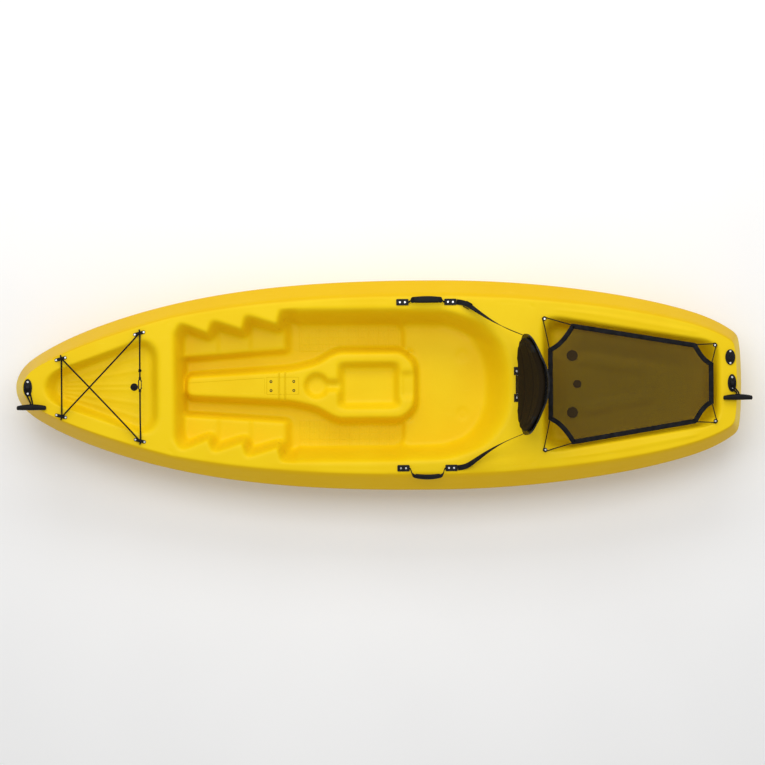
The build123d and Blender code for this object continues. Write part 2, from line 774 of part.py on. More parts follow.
# ---------------------------------------------------------------- scupper plugs and drain
for name, (x, y, r, floor) in scuppers.items():
    with BuildPart() as plug:
        with BuildSketch(Plane.XY.offset(floor)):
            with Locations((x, y)):
                Circle(r + plug_flange)
        extrude(amount=plug_flange_thick)
        fillet(plug.faces().sort_by(Axis.Z)[-1].edges(), 1.2)
        with BuildSketch(Plane.XY.offset(floor)):
            with Locations((x, y)):
                Circle(r - fit)
        extrude(amount=-plug_depth)
        with BuildSketch(Plane.XY.offset(floor + plug_flange_thick)):
            with Locations((x, y)):
                SlotOverall(1.3 * r, 0.45 * r)
        extrude(amount=plug_knob)
    finish(plug.part, name)

with BuildPart() as drain_housing:
    with BuildSketch(drain):
        Ellipse(drain_half_x, drain_half_y)
    extrude(amount=drain_flange)
    with BuildSketch(drain):
        Circle(drain_neck_r)
    extrude(amount=-drain_neck)
    add(drill(lifted(drain, 0, 0, drain_flange), [(0, 0)], drain_bore_r, drain_neck + drain_flange),
        mode=Mode.SUBTRACT)
    add(drill(lifted(drain, 0, 0, drain_flange), drain_spots, screw_shank_r + fit, drain_flange),
        mode=Mode.SUBTRACT)
finish(drain_housing.part, "drain_housing")

with BuildPart() as drain_seal:
    with BuildSketch(lifted(drain, 0, 0, drain_flange)):
        Circle(drain_head_r - 1.0)
        Circle(drain_bore_r, mode=Mode.SUBTRACT)
    extrude(amount=seal_thick)
finish(drain_seal.part, "drain_seal")

with BuildPart() as drain_plug:
    with BuildSketch(lifted(drain, 0, 0, drain_flange + seal_thick)):
        Circle(drain_head_r)
    extrude(amount=drain_head)
    fillet(drain_plug.faces().sort_by(Axis.Z)[-1].edges(), 1.5)
    with BuildSketch(lifted(drain, 0, 0, drain_flange + seal_thick)):
        Circle(drain_bore_r - fit)
    extrude(amount=-drain_neck)
    with BuildSketch(lifted(drain, 0, 0, drain_flange + seal_thick + drain_head)):
        SlotOverall(1.5 * drain_head_r, 0.5 * drain_head_r, rotation=60)
    extrude(amount=drain_grip)
finish(drain_plug.part, "drain_plug")

# ---------------------------------------------------------------- stowage cover over the tank well
hip_x = stern_x - cover_hip_from_stern
cover_rear_x = stern_x - cover_rear_from_stern
binding_z = deck_z + binding_lift


def cover_outline(inset):
    """The cover's outline, with four scooped corners, drawn in by inset."""
    with BuildSketch(Plane.XY.offset(binding_z)) as outline:
        with BuildLine():
            Line((cover_front_x, 0), (cover_front_x, cover_front_half))
            ThreePointArc(
                (cover_front_x, cover_front_half),
                ((cover_front_x + cover_shoulder_x) / 2 + cover_scoop * 0.7,
                 (cover_front_half + cover_shoulder_y) / 2 - cover_scoop * 0.7),
                (cover_shoulder_x, cover_shoulder_y),
            )
            Line((cover_shoulder_x, cover_shoulder_y), (hip_x, cover_hip_y))
            ThreePointArc(
                (hip_x, cover_hip_y),
                ((hip_x + cover_rear_x) / 2 - cover_scoop * 0.7,
                 (cover_hip_y + cover_rear_half) / 2 - cover_scoop * 0.7),
                (cover_rear_x, cover_rear_half),
            )
            Line((cover_rear_x, cover_rear_half), (cover_rear_x, 0))
            mirror(about=Plane.XZ)
        make_face()
        if inset:
            offset(amount=-inset, kind=Kind.INTERSECTION)
    return outline.sketch


with BuildPart() as cover_mesh:
    with BuildSketch(Plane.XY.offset(binding_z + (binding_thick - cover_thick) / 2)):
        add(cover_outline(binding_width))
    extrude(amount=cover_thick)
finish(cover_mesh.part, "cover_mesh")

with BuildPart() as cover_binding:
    with BuildSketch(Plane.XY.offset(binding_z)):
        add(cover_outline(0.0))
        add(cover_outline(binding_width), mode=Mode.SUBTRACT)
    extrude(amount=binding_thick)
finish(cover_binding.part, "cover_binding")

for name, plane in studs.items():
    with BuildPart() as stud:
        with BuildSketch(plane):
            Circle(stud_r)
        extrude(amount=stud_height)
        with BuildSketch(lifted(plane, 0, 0, stud_height - stud_head)):
            Circle(stud_head_r)
        extrude(amount=stud_head)
        add(drill(lifted(plane, 0, 0, stud_height), [(0, 0)], screw_shank_r + fit, stud_height),
            mode=Mode.SUBTRACT)
    finish(stud.part, f"cover_stud_{name}")
    hand = 1 if plane.origin.Y > 0 else -1
    if name.startswith("front"):
        anchors = ((cover_front_x, cover_front_half), (cover_shoulder_x, cover_shoulder_y))
    else:
        anchors = ((hip_x, cover_hip_y), (cover_rear_x, cover_rear_half))
    level = binding_z + binding_thick / 2
    ring_r = stud_r + elastic_r + gap / 2
    middle = Vector(plane.origin.X, plane.origin.Y, level)
    with BuildPart() as elastic:
        with Locations(middle):
            Torus(ring_r, elastic_r)
        for x, y in anchors:
            anchor = Vector(x, hand * y, level)
            way = (anchor - middle).normalized()
            with BuildSketch(Plane(origin=middle + way * ring_r, z_dir=way)):
                Circle(elastic_r)
            extrude(amount=(anchor - middle).length - ring_r + 5.0)
    finish(elastic.part, f"cover_elastic_{name}")


# ---------------------------------------------------------------- seat back
def back_section(station, near, far, half):
    """The seat back's section at one height: an arc in plan, from near to far behind its middle line."""
    share, aft, wrap, _, _ = station
    level = hinge_z + back_foot + share * back_height
    middle = back_x + aft
    with BuildSketch(Plane.XY.offset(level)) as section:
        with BuildLine():
            ThreePointArc((middle + near - wrap, half), (middle + near, 0), (middle + near - wrap, -half))
            Line((middle + near - wrap, -half), (middle + far - wrap, -half))
            ThreePointArc((middle + far - wrap, -half), (middle + far, 0), (middle + far - wrap, half))
            Line((middle + far - wrap, half), (middle + near - wrap, half))
        make_face()
    return section.sketch


with BuildPart() as backrest_shell:
    loft([back_section(station, 0.0, back_thick, station[3]) for station in back_stations])
    with BuildSketch(Plane.XZ.offset(-hinge_tab_half)):
        with Locations((back_x, hinge_z)):
            Circle(hinge_knuckle_r)
        with BuildLine():
            Polyline(
                (back_x - 4.0, hinge_z + 4.0), (back_x + 5.0, hinge_z + back_foot + 6.0),
                (back_x + 12.5, hinge_z + back_foot + 6.0), (back_x + 5.5, hinge_z - 2.0), close=True,
            )
        make_face()
        with Locations((back_x, hinge_z)):
            Circle(hinge_pin_r + fit, mode=Mode.SUBTRACT)
    extrude(amount=2 * hinge_tab_half)
finish(backrest_shell.part, "backrest_shell")

with BuildPart() as backrest_pad:
    loft([back_section(s, -back_pad - pad_gap, -pad_gap, s[4]) for s in back_stations if s[4]])
finish(backrest_pad.part, "backrest_pad")

with BuildPart() as backrest_hinge_base:
    for way in (1, -1):
        with BuildSketch(lifted(hinge_base, 0, way * (hinge_tab_half + hinge_base_half + 1.0) / 2, 0)):
            Rectangle(2 * hinge_base_half_width, hinge_base_half - hinge_tab_half - 1.0)
        extrude(amount=hinge_base_thick)
    with BuildSketch(hinge_base):
        Rectangle(6.0, 2 * hinge_base_half)
    extrude(amount=hinge_base_thick)
    for way in (1, -1):
        start = hinge_tab_half + 1.0 if way > 0 else -hinge_tab_half - 9.0
        with BuildSketch(Plane(origin=(back_x, start, hinge_z), x_dir=(-1, 0, 0), z_dir=(0, 1, 0))):
            Circle(hinge_knuckle_r)
            with Locations((0, -hinge_height / 2)):
                Rectangle(2 * hinge_knuckle_r, hinge_height)
            Circle(hinge_pin_r, mode=Mode.SUBTRACT)
        extrude(amount=8.0)
    add(drill(lifted(hinge_base, 0, 0, hinge_base_thick), hinge_spots, screw_shank_r + fit, hinge_base_thick),
        mode=Mode.SUBTRACT)
finish(backrest_hinge_base.part, "backrest_hinge_base")

with BuildPart() as backrest_hinge_pin:
    with BuildSketch(Plane.XZ.offset(-hinge_tab_half - 10.0)):
        with Locations((back_x, hinge_z)):
            Circle(hinge_pin_r)
    extrude(amount=2 * (hinge_tab_half + 10.0))
finish(backrest_hinge_pin.part, "backrest_hinge_pin")

# ---------------------------------------------------------------- seat straps
strap_start = handle_rear_x + plate_length / 2 + gap
_, mid_aft, mid_wrap, mid_half, _ = back_stations[2]
strap_end = (back_x + mid_aft - mid_wrap - 4.0, mid_half + gap + webbing_thick / 2)
strap_end_z = hinge_z + back_foot + back_stations[2][0] * back_height - deck_z
for side, hand in (("starboard", 1), ("port", -1)):
    route = (
        ((strap_start, handle_y, webbing_thick / 2 + gap, 0.0),) + strap_route
        + ((strap_end[0], strap_end[1], strap_end_z, 90.0),)
    )
    points = [Vector(x, hand * y, deck_z + z) for x, y, z, _ in route]
    bands = []
    for i, (x, y, z, roll) in enumerate(route):
        ahead = points[min(i + 1, len(points) - 1)] - points[max(i - 1, 0)]
        if i == 0:
            ahead = Vector(1, 0, 0)
        level = Vector(-ahead.Y, ahead.X, 0).normalized()
        climb = ahead.normalized().cross(level)
        width = level * cos(radians(roll)) - climb * sin(radians(roll))
        with BuildSketch(Plane(origin=points[i], x_dir=width, z_dir=ahead)) as band:
            Rectangle(webbing_width, webbing_thick)
        bands.append(band.sketch)
    with BuildPart() as strap:
        loft(bands, ruled=True)
    finish(strap.part, f"{side}_seat_strap")
    if side == "starboard":
        run = points[2] - points[1]
        clear = (run * 0.5).normalized()
        level = Vector(-clear.Y, clear.X, 0).normalized()
        tilt = radians((route[1][3] + route[2][3]) / 2)
        across = level * cos(tilt) - clear.cross(level) * sin(tilt)
        seat = Plane(origin=points[1] + run * 0.5, x_dir=across, z_dir=clear.cross(across))
        with BuildPart() as buckle:
            with BuildSketch(seat.offset(-buckle_thick / 2)):
                RectangleRounded(2 * buckle_half_width, 2 * buckle_half, 3.0)
            extrude(amount=buckle_thick)
            with BuildSketch(Plane(origin=seat.origin, x_dir=across, z_dir=seat.y_dir)):
                Rectangle(webbing_width + 1.6, buckle_slot + 1.2)
            extrude(amount=2 * buckle_half, both=True, mode=Mode.SUBTRACT)
        finish(buckle.part, "strap_buckle")
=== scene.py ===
"""Sit-on-top kayak: moulded hull, deck fittings, stowage cover and seat back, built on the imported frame."""

from math import ceil, cos, pi, radians, sin, tan

import bmesh
import bpy
import numpy as np
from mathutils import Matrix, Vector


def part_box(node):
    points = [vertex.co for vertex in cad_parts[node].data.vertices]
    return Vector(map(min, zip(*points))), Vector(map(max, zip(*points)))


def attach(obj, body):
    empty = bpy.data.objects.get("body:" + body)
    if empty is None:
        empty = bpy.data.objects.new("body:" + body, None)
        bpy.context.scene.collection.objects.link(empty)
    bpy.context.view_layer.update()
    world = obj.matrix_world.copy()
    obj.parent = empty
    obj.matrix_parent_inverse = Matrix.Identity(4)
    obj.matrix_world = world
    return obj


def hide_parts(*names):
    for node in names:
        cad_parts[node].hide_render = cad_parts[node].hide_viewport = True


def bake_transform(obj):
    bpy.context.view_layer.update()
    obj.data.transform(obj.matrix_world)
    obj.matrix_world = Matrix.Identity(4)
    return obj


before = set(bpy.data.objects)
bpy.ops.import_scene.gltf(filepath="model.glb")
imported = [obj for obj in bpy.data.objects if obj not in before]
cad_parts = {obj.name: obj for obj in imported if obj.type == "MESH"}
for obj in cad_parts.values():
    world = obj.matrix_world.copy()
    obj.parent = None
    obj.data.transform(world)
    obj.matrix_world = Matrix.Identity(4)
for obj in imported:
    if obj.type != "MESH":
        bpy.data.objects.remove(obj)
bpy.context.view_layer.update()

bl_info = {
    "name": "Sit-on-top kayak",
    "version": (1, 0, 0),
    "blender": (4, 5, 0),
    "location": "View3D > Sidebar > Kayak",
    "description": "Builds a sit-on-top kayak with its deck fittings, stowage cover and seat back",
    "category": "Object",
}

# Shapes below are worked out in millimetres and become metres in make_mesh.
MM = 0.001


def node_box(name):
    """Lowest and highest corner of a fixed part, in millimetres."""
    low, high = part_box(name)
    return np.array(low) / MM, np.array(high) / MM


HULL_LOW, HULL_HIGH = node_box("hull")
BOW, STERN = HULL_LOW[0], HULL_HIGH[0]
HALF_BEAM = HULL_HIGH[1]
DECK = node_box("starboard_handle_plate_front")[0][2]
RIDGE = node_box("accessory_inserts")[1][2] - 0.8
TANK_FLOOR = node_box("tank_scupper_plug_middle")[1][2] - 10.0
BEAM_Z = DECK - 75.0
BOW_RISE = tan(radians(5.0))
FORE_DECK = BOW + 590.0
PAST = -400.0  # where a half outline closes, past the middle line
PATCH_SPOT = (0.566, 0.130)  # where the seat back's grip patches lie, in metres
PATCH_HALF = (0.008, 0.013)
GATHERED_WIDTH = 7.0  # webbing where it is gathered by its plates
GATHERED_TO, SPREAD_OVER = 25.0, 12.0  # how far up a handle that lasts, and how soon it is full width


# ---------------------------------------------------------------- small tools
def make_mesh(name, points, faces, material=None, uvs=None, smooth=True):
    """A new object from points in millimetres; uvs holds one pair per point."""
    mesh = bpy.data.meshes.new(name)
    mesh.from_pydata([tuple(float(v) * MM for v in p) for p in points], [],
        [tuple(int(i) for i in f) for f in faces])
    if uvs is not None:
        layer = mesh.uv_layers.new(name="UVMap")
        index = np.zeros(len(mesh.loops), dtype=np.int32)
        mesh.loops.foreach_get("vertex_index", index)
        layer.data.foreach_set("uv", np.asarray(uvs, dtype=np.float32)[index].ravel())
    mesh.update()
    if smooth:
        mesh.polygons.foreach_set("use_smooth", [True] * len(mesh.polygons))
    piece = bpy.data.objects.new(name, mesh)
    bpy.context.scene.collection.objects.link(piece)
    if material is not None:
        mesh.materials.append(material)
    return piece


def grid_faces(rows, columns, close_rows=False, close_columns=False):
    """Quads over a grid of points numbered row by row."""
    faces = []
    for i in range(rows if close_rows else rows - 1):
        for j in range(columns if close_columns else columns - 1):
            a, b = i, (i + 1) % rows
            c, d = j, (j + 1) % columns
            faces.append((a * columns + c, a * columns + d, b * columns + d, b * columns + c))
    return faces


def add_modifier(piece, kind, **settings):
    modifier = piece.modifiers.new(kind.lower(), kind)
    for key, value in settings.items():
        setattr(modifier, key, value)
    return modifier


def bake_modifiers(piece):
    """Applies every modifier on a piece."""
    bpy.context.view_layer.update()
    graph = bpy.context.evaluated_depsgraph_get()
    mesh = bpy.data.meshes.new_from_object(piece.evaluated_get(graph))
    piece.modifiers.clear()
    piece.data = mesh
    return piece


def fit_piece(piece, body, slot, *nodes):
    """Ties a finished piece to its body and hides the fixed parts it stands for; slot, its finish, is not used."""
    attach(piece, body)
    if nodes:
        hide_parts(*nodes)
    return piece


def cubic_through(values, at, knots):
    """A natural cubic spline through values at knots, read at the given places."""
    values, knots = np.asarray(values, float), np.asarray(knots, float)
    count = len(knots)
    gaps = np.diff(knots)
    matrix, right = np.eye(count), np.zeros(count)
    for i in range(1, count - 1):
        matrix[i, i - 1 : i + 2] = (gaps[i - 1], 2 * (gaps[i - 1] + gaps[i]), gaps[i])
        right[i] = 6 * ((values[i + 1] - values[i]) / gaps[i] - (values[i] - values[i - 1]) / gaps[i - 1])
    bend = np.linalg.solve(matrix, right)
    i = np.clip(np.searchsorted(knots, at) - 1, 0, count - 2)
    g, a, b = gaps[i], knots[i + 1] - at, at - knots[i]
    return (
        (bend[i] * a**3 + bend[i + 1] * b**3) / (6 * g)
        + (values[i] / g - bend[i] * g / 6) * a
        + (values[i + 1] / g - bend[i + 1] * g / 6) * b
    )


def curve_through(points, count):
    """Evenly spaced points along a smooth curve through the given ones."""
    points = np.asarray(points, float)
    knots = np.concatenate([[0], np.cumsum(np.linalg.norm(np.diff(points, axis=0), axis=1))])
    at = np.linspace(0, knots[-1], 40 * len(points))
    dense = np.stack([cubic_through(points[:, k], at, knots) for k in range(points.shape[1])], axis=1)
    run = np.concatenate([[0], np.cumsum(np.linalg.norm(np.diff(dense[:, :3], axis=0), axis=1))])
    even = np.linspace(0, run[-1], count)
    return np.stack([np.interp(even, run, dense[:, k]) for k in range(points.shape[1])], axis=1)


def soft_route(points, step, closed=False):
    """Evenly spaced points of the smooth spline that a limp cord takes between its control points."""
    curve = bpy.data.curves.new("route", "CURVE")
    curve.dimensions = "3D"
    spline = curve.splines.new("NURBS")
    spline.points.add(len(points) - 1)
    for p, point in zip(points, spline.points):
        point.co = (*[float(v) * MM for v in p], 1.0)
    spline.order_u = 3
    spline.use_endpoint_u = not closed
    spline.use_cyclic_u = closed
    curve.resolution_u = 24
    holder = bpy.data.objects.new("route", curve)
    mesh = bpy.data.meshes.new_from_object(holder)
    dense = np.array([v.co for v in mesh.vertices], float) / MM
    bpy.data.meshes.remove(mesh)
    bpy.data.objects.remove(holder)
    bpy.data.curves.remove(curve)
    if closed:
        dense = np.vstack([dense, dense[:1]])
    run = np.concatenate([[0], np.cumsum(np.linalg.norm(np.diff(dense, axis=0), axis=1))])
    even = np.linspace(0, run[-1], max(3, ceil(run[-1] / step) + 1))
    route = np.stack([np.interp(even, run, dense[:, k]) for k in range(3)], axis=1)
    return route[:-1] if closed else route


def unit(rows):
    return rows / np.maximum(np.linalg.norm(rows, axis=-1, keepdims=True), 1e-9)


def directions(route, closed):
    if closed:
        ahead = np.roll(route, -1, axis=0) - np.roll(route, 1, axis=0)
    else:
        ahead = np.gradient(route, axis=0)
    return unit(ahead)


def face_outward(piece, sharp_from):
    """Turns every face outwards and keeps edges sharper than the given degrees crisp."""
    mesh = bmesh.new()
    mesh.from_mesh(piece.data)
    bmesh.ops.recalc_face_normals(mesh, faces=mesh.faces)
    mesh.to_mesh(piece.data)
    mesh.free()
    piece.data.set_sharp_from_angle(angle=radians(sharp_from))
    return piece


def sweep_section(name, route, section, side, material, closed=False, scale=None, caps=True):
    """Carries a closed section of (across, up) pairs along a route; side gives each point's across direction."""
    route, side = np.asarray(route, float), np.asarray(side, float)
    ahead = directions(route, closed)
    side = unit(side - (side * ahead).sum(1, keepdims=True) * ahead)
    up = np.cross(ahead, side)
    section = np.asarray(section, float)
    scale = np.ones((len(route), 2)) if scale is None else np.asarray(scale, float)
    rows = (
        route[:, None, :]
        + side[:, None, :] * (section[None, :, 0:1] * scale[:, None, 0:1])
        + up[:, None, :] * (section[None, :, 1:2] * scale[:, None, 1:2])
    )
    count, around = rows.shape[:2]
    run = np.concatenate([[0], np.cumsum(np.linalg.norm(np.diff(route, axis=0), axis=1))]) * MM
    girth = np.concatenate([[0], np.cumsum(np.linalg.norm(np.diff(section, axis=0), axis=1))]) * MM
    uvs = np.stack([np.tile(girth, count), np.repeat(run, around)], axis=1)
    faces = grid_faces(count, around, close_rows=closed, close_columns=True)
    if caps and not closed:
        faces.append(tuple(range(around - 1, -1, -1)))
        faces.append(tuple(range((count - 1) * around, count * around)))
    piece = make_mesh(name, rows.reshape(-1, 3), faces, material, uvs)
    return face_outward(piece, 50)


def ring_section(radius, count=12):
    return [(radius * cos(2 * pi * i / count), radius * sin(2 * pi * i / count)) for i in range(count)]


def band_section(width, thick):
    """A flat band with rounded edges."""
    w, t = width / 2, thick / 2
    return [
        (w - t, t), (0.5 * w, t), (0, t), (-0.5 * w, t), (-w + t, t), (-w + 0.3 * t, 0.7 * t), (-w, 0),
        (-w + 0.3 * t, -0.7 * t), (-w + t, -t), (-0.5 * w, -t), (0, -t), (0.5 * w, -t), (w - t, -t),
        (w - 0.3 * t, -0.7 * t), (w, 0), (w - 0.3 * t, 0.7 * t),
    ]


def round_cord(name, points, radius, material, closed=False, step=3.0, route=None):
    """A round cord along the soft route of its points."""
    route = soft_route(points, step, closed) if route is None else route
    ahead = directions(route, closed)
    side = np.zeros_like(route)
    hint = np.array([0.0, 0.0, 1.0]) if abs(ahead[0][2]) < 0.8 else np.array([1.0, 0.0, 0.0])
    current = np.cross(hint, ahead[0])
    for i, a in enumerate(ahead):
        current = current - np.dot(current, a) * a
        current = current / np.linalg.norm(current)
        side[i] = current
    return sweep_section(name, route, ring_section(radius), side, material, closed)


def turned(name, profile, origin, axis, material, across=None, count=40, ripple=None):
    """A turned shape: profile holds (distance along the axis, radius) pairs; ripple varies the radius around it."""
    axis = Vector(axis).normalized()
    across = Vector(across).normalized() if across else axis.orthogonal().normalized()
    other = axis.cross(across)
    points, uvs = [], []
    for along, radius in profile:
        for k in range(count):
            turn = 2 * pi * k / count
            r = radius * (ripple(turn, along) if ripple else 1.0)
            spot = Vector(origin) + axis * along + across * (r * cos(turn)) + other * (r * sin(turn))
            points.append(tuple(spot))
            uvs.append((turn * radius * MM, along * MM))
    faces = grid_faces(len(profile), count, close_columns=True)
    faces.append(tuple(range(count)))
    faces.append(tuple(range(len(profile) * count - 1, (len(profile) - 1) * count - 1, -1)))
    piece = make_mesh(name, points, faces, material, uvs)
    return face_outward(piece, 40)


def deck_height(x):
    return DECK + np.maximum(0.0, FORE_DECK - x) * BOW_RISE


def deck_spot(x, y, along=0.0, across=0.0, above=0.0, turn=0.0):
    """A point given in the axes of the deck at (x, y)."""
    slope = radians(5.0) if x < FORE_DECK else 0.0
    a = along * cos(radians(turn)) - across * sin(radians(turn))
    b = along * sin(radians(turn)) + across * cos(radians(turn))
    return (
        x + a * cos(slope) + above * sin(slope),
        y + b,
        float(deck_height(x)) - a * sin(slope) + above * cos(slope),
    )


# ---------------------------------------------------------------- finishes
def place(tree, kind, inputs=(), **settings):
    """Adds a shader node, sets its properties, and fills its inputs with numbers or other nodes' outputs."""
    node = tree.nodes.new(kind)
    for key, value in settings.items():
        setattr(node, key, value)
    for key, value in dict(inputs).items():
        if isinstance(value, bpy.types.NodeSocket):
            tree.links.new(value, node.inputs[key])
        else:
            node.inputs[key].default_value = value
    return node


def calc(tree, operation, *values, clamp=False):
    return place(tree, "ShaderNodeMath", enumerate(values), operation=operation, use_clamp=clamp).outputs[0]


def blend_colours(tree, share, first, second, kind="MIX"):
    node = place(tree, "ShaderNodeMix", data_type="RGBA", blend_type=kind)
    for index, value in ((0, share), (6, first), (7, second)):
        if isinstance(value, bpy.types.NodeSocket):
            tree.links.new(value, node.inputs[index])
        else:
            node.inputs[index].default_value = value
    return node.outputs[2]


def remap(tree, value, low, high, to_low=0.0, to_high=1.0):
    inputs = {"Value": value, "From Min": low, "From Max": high, "To Min": to_low, "To Max": to_high}
    return place(tree, "ShaderNodeMapRange", inputs, interpolation_type="SMOOTHSTEP").outputs[0]


def new_group(name, inputs, outputs):
    """An empty shader node group with its sockets."""
    group = bpy.data.node_groups.new(name, "ShaderNodeTree")
    for label, kind, value in inputs:
        socket = group.interface.new_socket(name=label, in_out="INPUT", socket_type=f"NodeSocket{kind}")
        if value is not None:
            socket.default_value = value
    for label, kind in outputs:
        group.interface.new_socket(name=label, in_out="OUTPUT", socket_type=f"NodeSocket{kind}")
    return group, place(group, "NodeGroupInput"), place(group, "NodeGroupOutput")


def moulded_surface_group():
    """Fine moulded texture: a colour mottle, a bump height and a mask of light handling scuffs."""
    group, given, result = new_group(
        "moulded_surface",
        [("Place", "Vector", None), ("Grain Scale", "Float", 900.0), ("Mottle Scale", "Float", 6.0)],
        [("Mottle", "Float"), ("Grain", "Float"), ("Scuffs", "Float")],
    )
    spot = given.outputs["Place"]
    mottle = place(group, "ShaderNodeTexNoise",
        {"Vector": spot, "Scale": given.outputs["Mottle Scale"], "Detail": 3.0})
    grain = place(
        group, "ShaderNodeTexNoise", {"Vector": spot, "Scale": given.outputs["Grain Scale"], "Detail": 2.0}
    )
    peel = place(group, "ShaderNodeTexNoise", {"Vector": spot, "Scale": 160.0, "Detail": 1.0})
    height = calc(group, "ADD", calc(group, "MULTIPLY", grain.outputs[0], 0.45), peel.outputs[0])
    stretched = place(group, "ShaderNodeVectorMath", {0: spot, 1: (6.0, 90.0, 30.0)}, operation="MULTIPLY")
    streak = place(group, "ShaderNodeTexNoise", {"Vector": stretched.outputs[0], "Scale": 2.2, "Detail": 4.0})
    group.links.new(mottle.outputs[0], result.inputs["Mottle"])
    group.links.new(height, result.inputs["Grain"])
    group.links.new(remap(group, streak.outputs[0], 0.6, 0.78), result.inputs["Scuffs"])
    return group


def plain_weave_group():
    """Woven threads over a flat place: a height, a gap mask between threads and a thread-to-thread shade."""
    group, given, result = new_group(
        "plain_weave",
        [("Place", "Vector", None), ("Pitch", "Float", 0.002), ("Thread", "Float", 0.6)],
        [("Height", "Float"), ("Cover", "Float"), ("Shade", "Float")],
    )
    parts = place(group, "ShaderNodeSeparateXYZ", {0: given.outputs["Place"]})
    count = calc(group, "DIVIDE", pi, given.outputs["Pitch"])
    warp = calc(group, "ABSOLUTE", calc(group, "SINE", calc(group, "MULTIPLY", parts.outputs[0], count)))
    weft = calc(group, "ABSOLUTE", calc(group, "SINE", calc(group, "MULTIPLY", parts.outputs[1], count)))
    over = calc(
        group, "MULTIPLY",
        calc(group, "COSINE", calc(group, "MULTIPLY", parts.outputs[0], count)),
        calc(group, "COSINE", calc(group, "MULTIPLY", parts.outputs[1], count)),
    )
    high = calc(group, "MAXIMUM", warp, weft)
    height = calc(group, "ADD", high, calc(group, "MULTIPLY", over, 0.25))
    edge = calc(group, "SUBTRACT", 1.0, given.outputs["Thread"])
    cover = remap(group, high, edge, calc(group, "ADD", edge, 0.14))
    uneven = place(group, "ShaderNodeTexNoise",
        {"Vector": given.outputs["Place"], "Scale": 38.0, "Detail": 5.0})
    group.links.new(height, result.inputs["Height"])
    group.links.new(cover, result.inputs["Cover"])
    group.links.new(uneven.outputs[0], result.inputs["Shade"])
    return group


def braid_group():
    """Braided strands round a cord: along is the place's second number."""
    group, given, result = new_group(
        "braid", [("Place", "Vector", None), ("Pitch", "Float", 0.004)], [("Height", "Float"),
            ("Fleck", "Float")]
    )
    parts = place(group, "ShaderNodeSeparateXYZ", {0: given.outputs["Place"]})
    count = calc(group, "DIVIDE", 2 * pi, given.outputs["Pitch"])
    left = calc(group, "MULTIPLY", calc(group, "ADD", parts.outputs[0], parts.outputs[1]), count)
    right = calc(group, "MULTIPLY", calc(group, "SUBTRACT", parts.outputs[1], parts.outputs[0]), count)
    height = calc(group, "MULTIPLY", calc(group, "SINE", left), calc(group, "SINE", right))
    fleck = place(group, "ShaderNodeTexNoise",
        {"Vector": given.outputs["Place"], "Scale": 700.0, "Detail": 2.0})
    group.links.new(height, result.inputs["Height"])
    group.links.new(fleck.outputs[0], result.inputs["Fleck"])
    return group


GROUPS = {}
FINISHES = {}


def group_node(tree, name, inputs):
    makers = {"moulded_surface": moulded_surface_group, "plain_weave": plain_weave_group,
        "braid": braid_group}
    if name not in GROUPS:
        GROUPS[name] = makers[name]()
    node = place(tree, "ShaderNodeGroup", node_tree=GROUPS[name])
    for key, value in inputs.items():
        if isinstance(value, bpy.types.NodeSocket):
            tree.links.new(value, node.inputs[key])
        else:
            node.inputs[key].default_value = value
    return node


def start_finish(name, **constants):
    """A new material with its shader; constants are set on the shader's own sockets."""
    material = bpy.data.materials.new(name)
    material.use_nodes = True
    tree = material.node_tree
    tree.nodes.clear()
    surface = place(tree, "ShaderNodeBsdfPrincipled")
    output = place(tree, "ShaderNodeOutputMaterial")
    tree.links.new(surface.outputs[0], output.inputs["Surface"])
    for key, value in constants.items():
        surface.inputs[key.replace("_", " ")].default_value = value
    spots = place(tree, "ShaderNodeTexCoord")
    FINISHES[name] = material
    return material, tree, surface, spots


def raise_bump(tree, surface, height, distance, strength=1.0):
    bump = place(tree, "ShaderNodeBump", {"Strength": strength, "Distance": distance, "Height": height})
    tree.links.new(bump.outputs[0], surface.inputs["Normal"])


def inside_wedge(tree, x, side, start, end, near, far, low=None):
    """How far a spot is inside a panel that runs from start to end; low to near and far bound its half width."""
    run = calc(tree, "MULTIPLY_ADD", calc(tree, "SUBTRACT", x, start), (far - near) / (end - start), near)
    depth = calc(tree, "MINIMUM", calc(tree, "SUBTRACT", x, start), calc(tree, "SUBTRACT", end, x))
    depth = calc(tree, "MINIMUM", depth, calc(tree, "SUBTRACT", run, side))
    if low is not None:
        depth = calc(tree, "MINIMUM", depth, calc(tree, "SUBTRACT", side, low))
    return depth


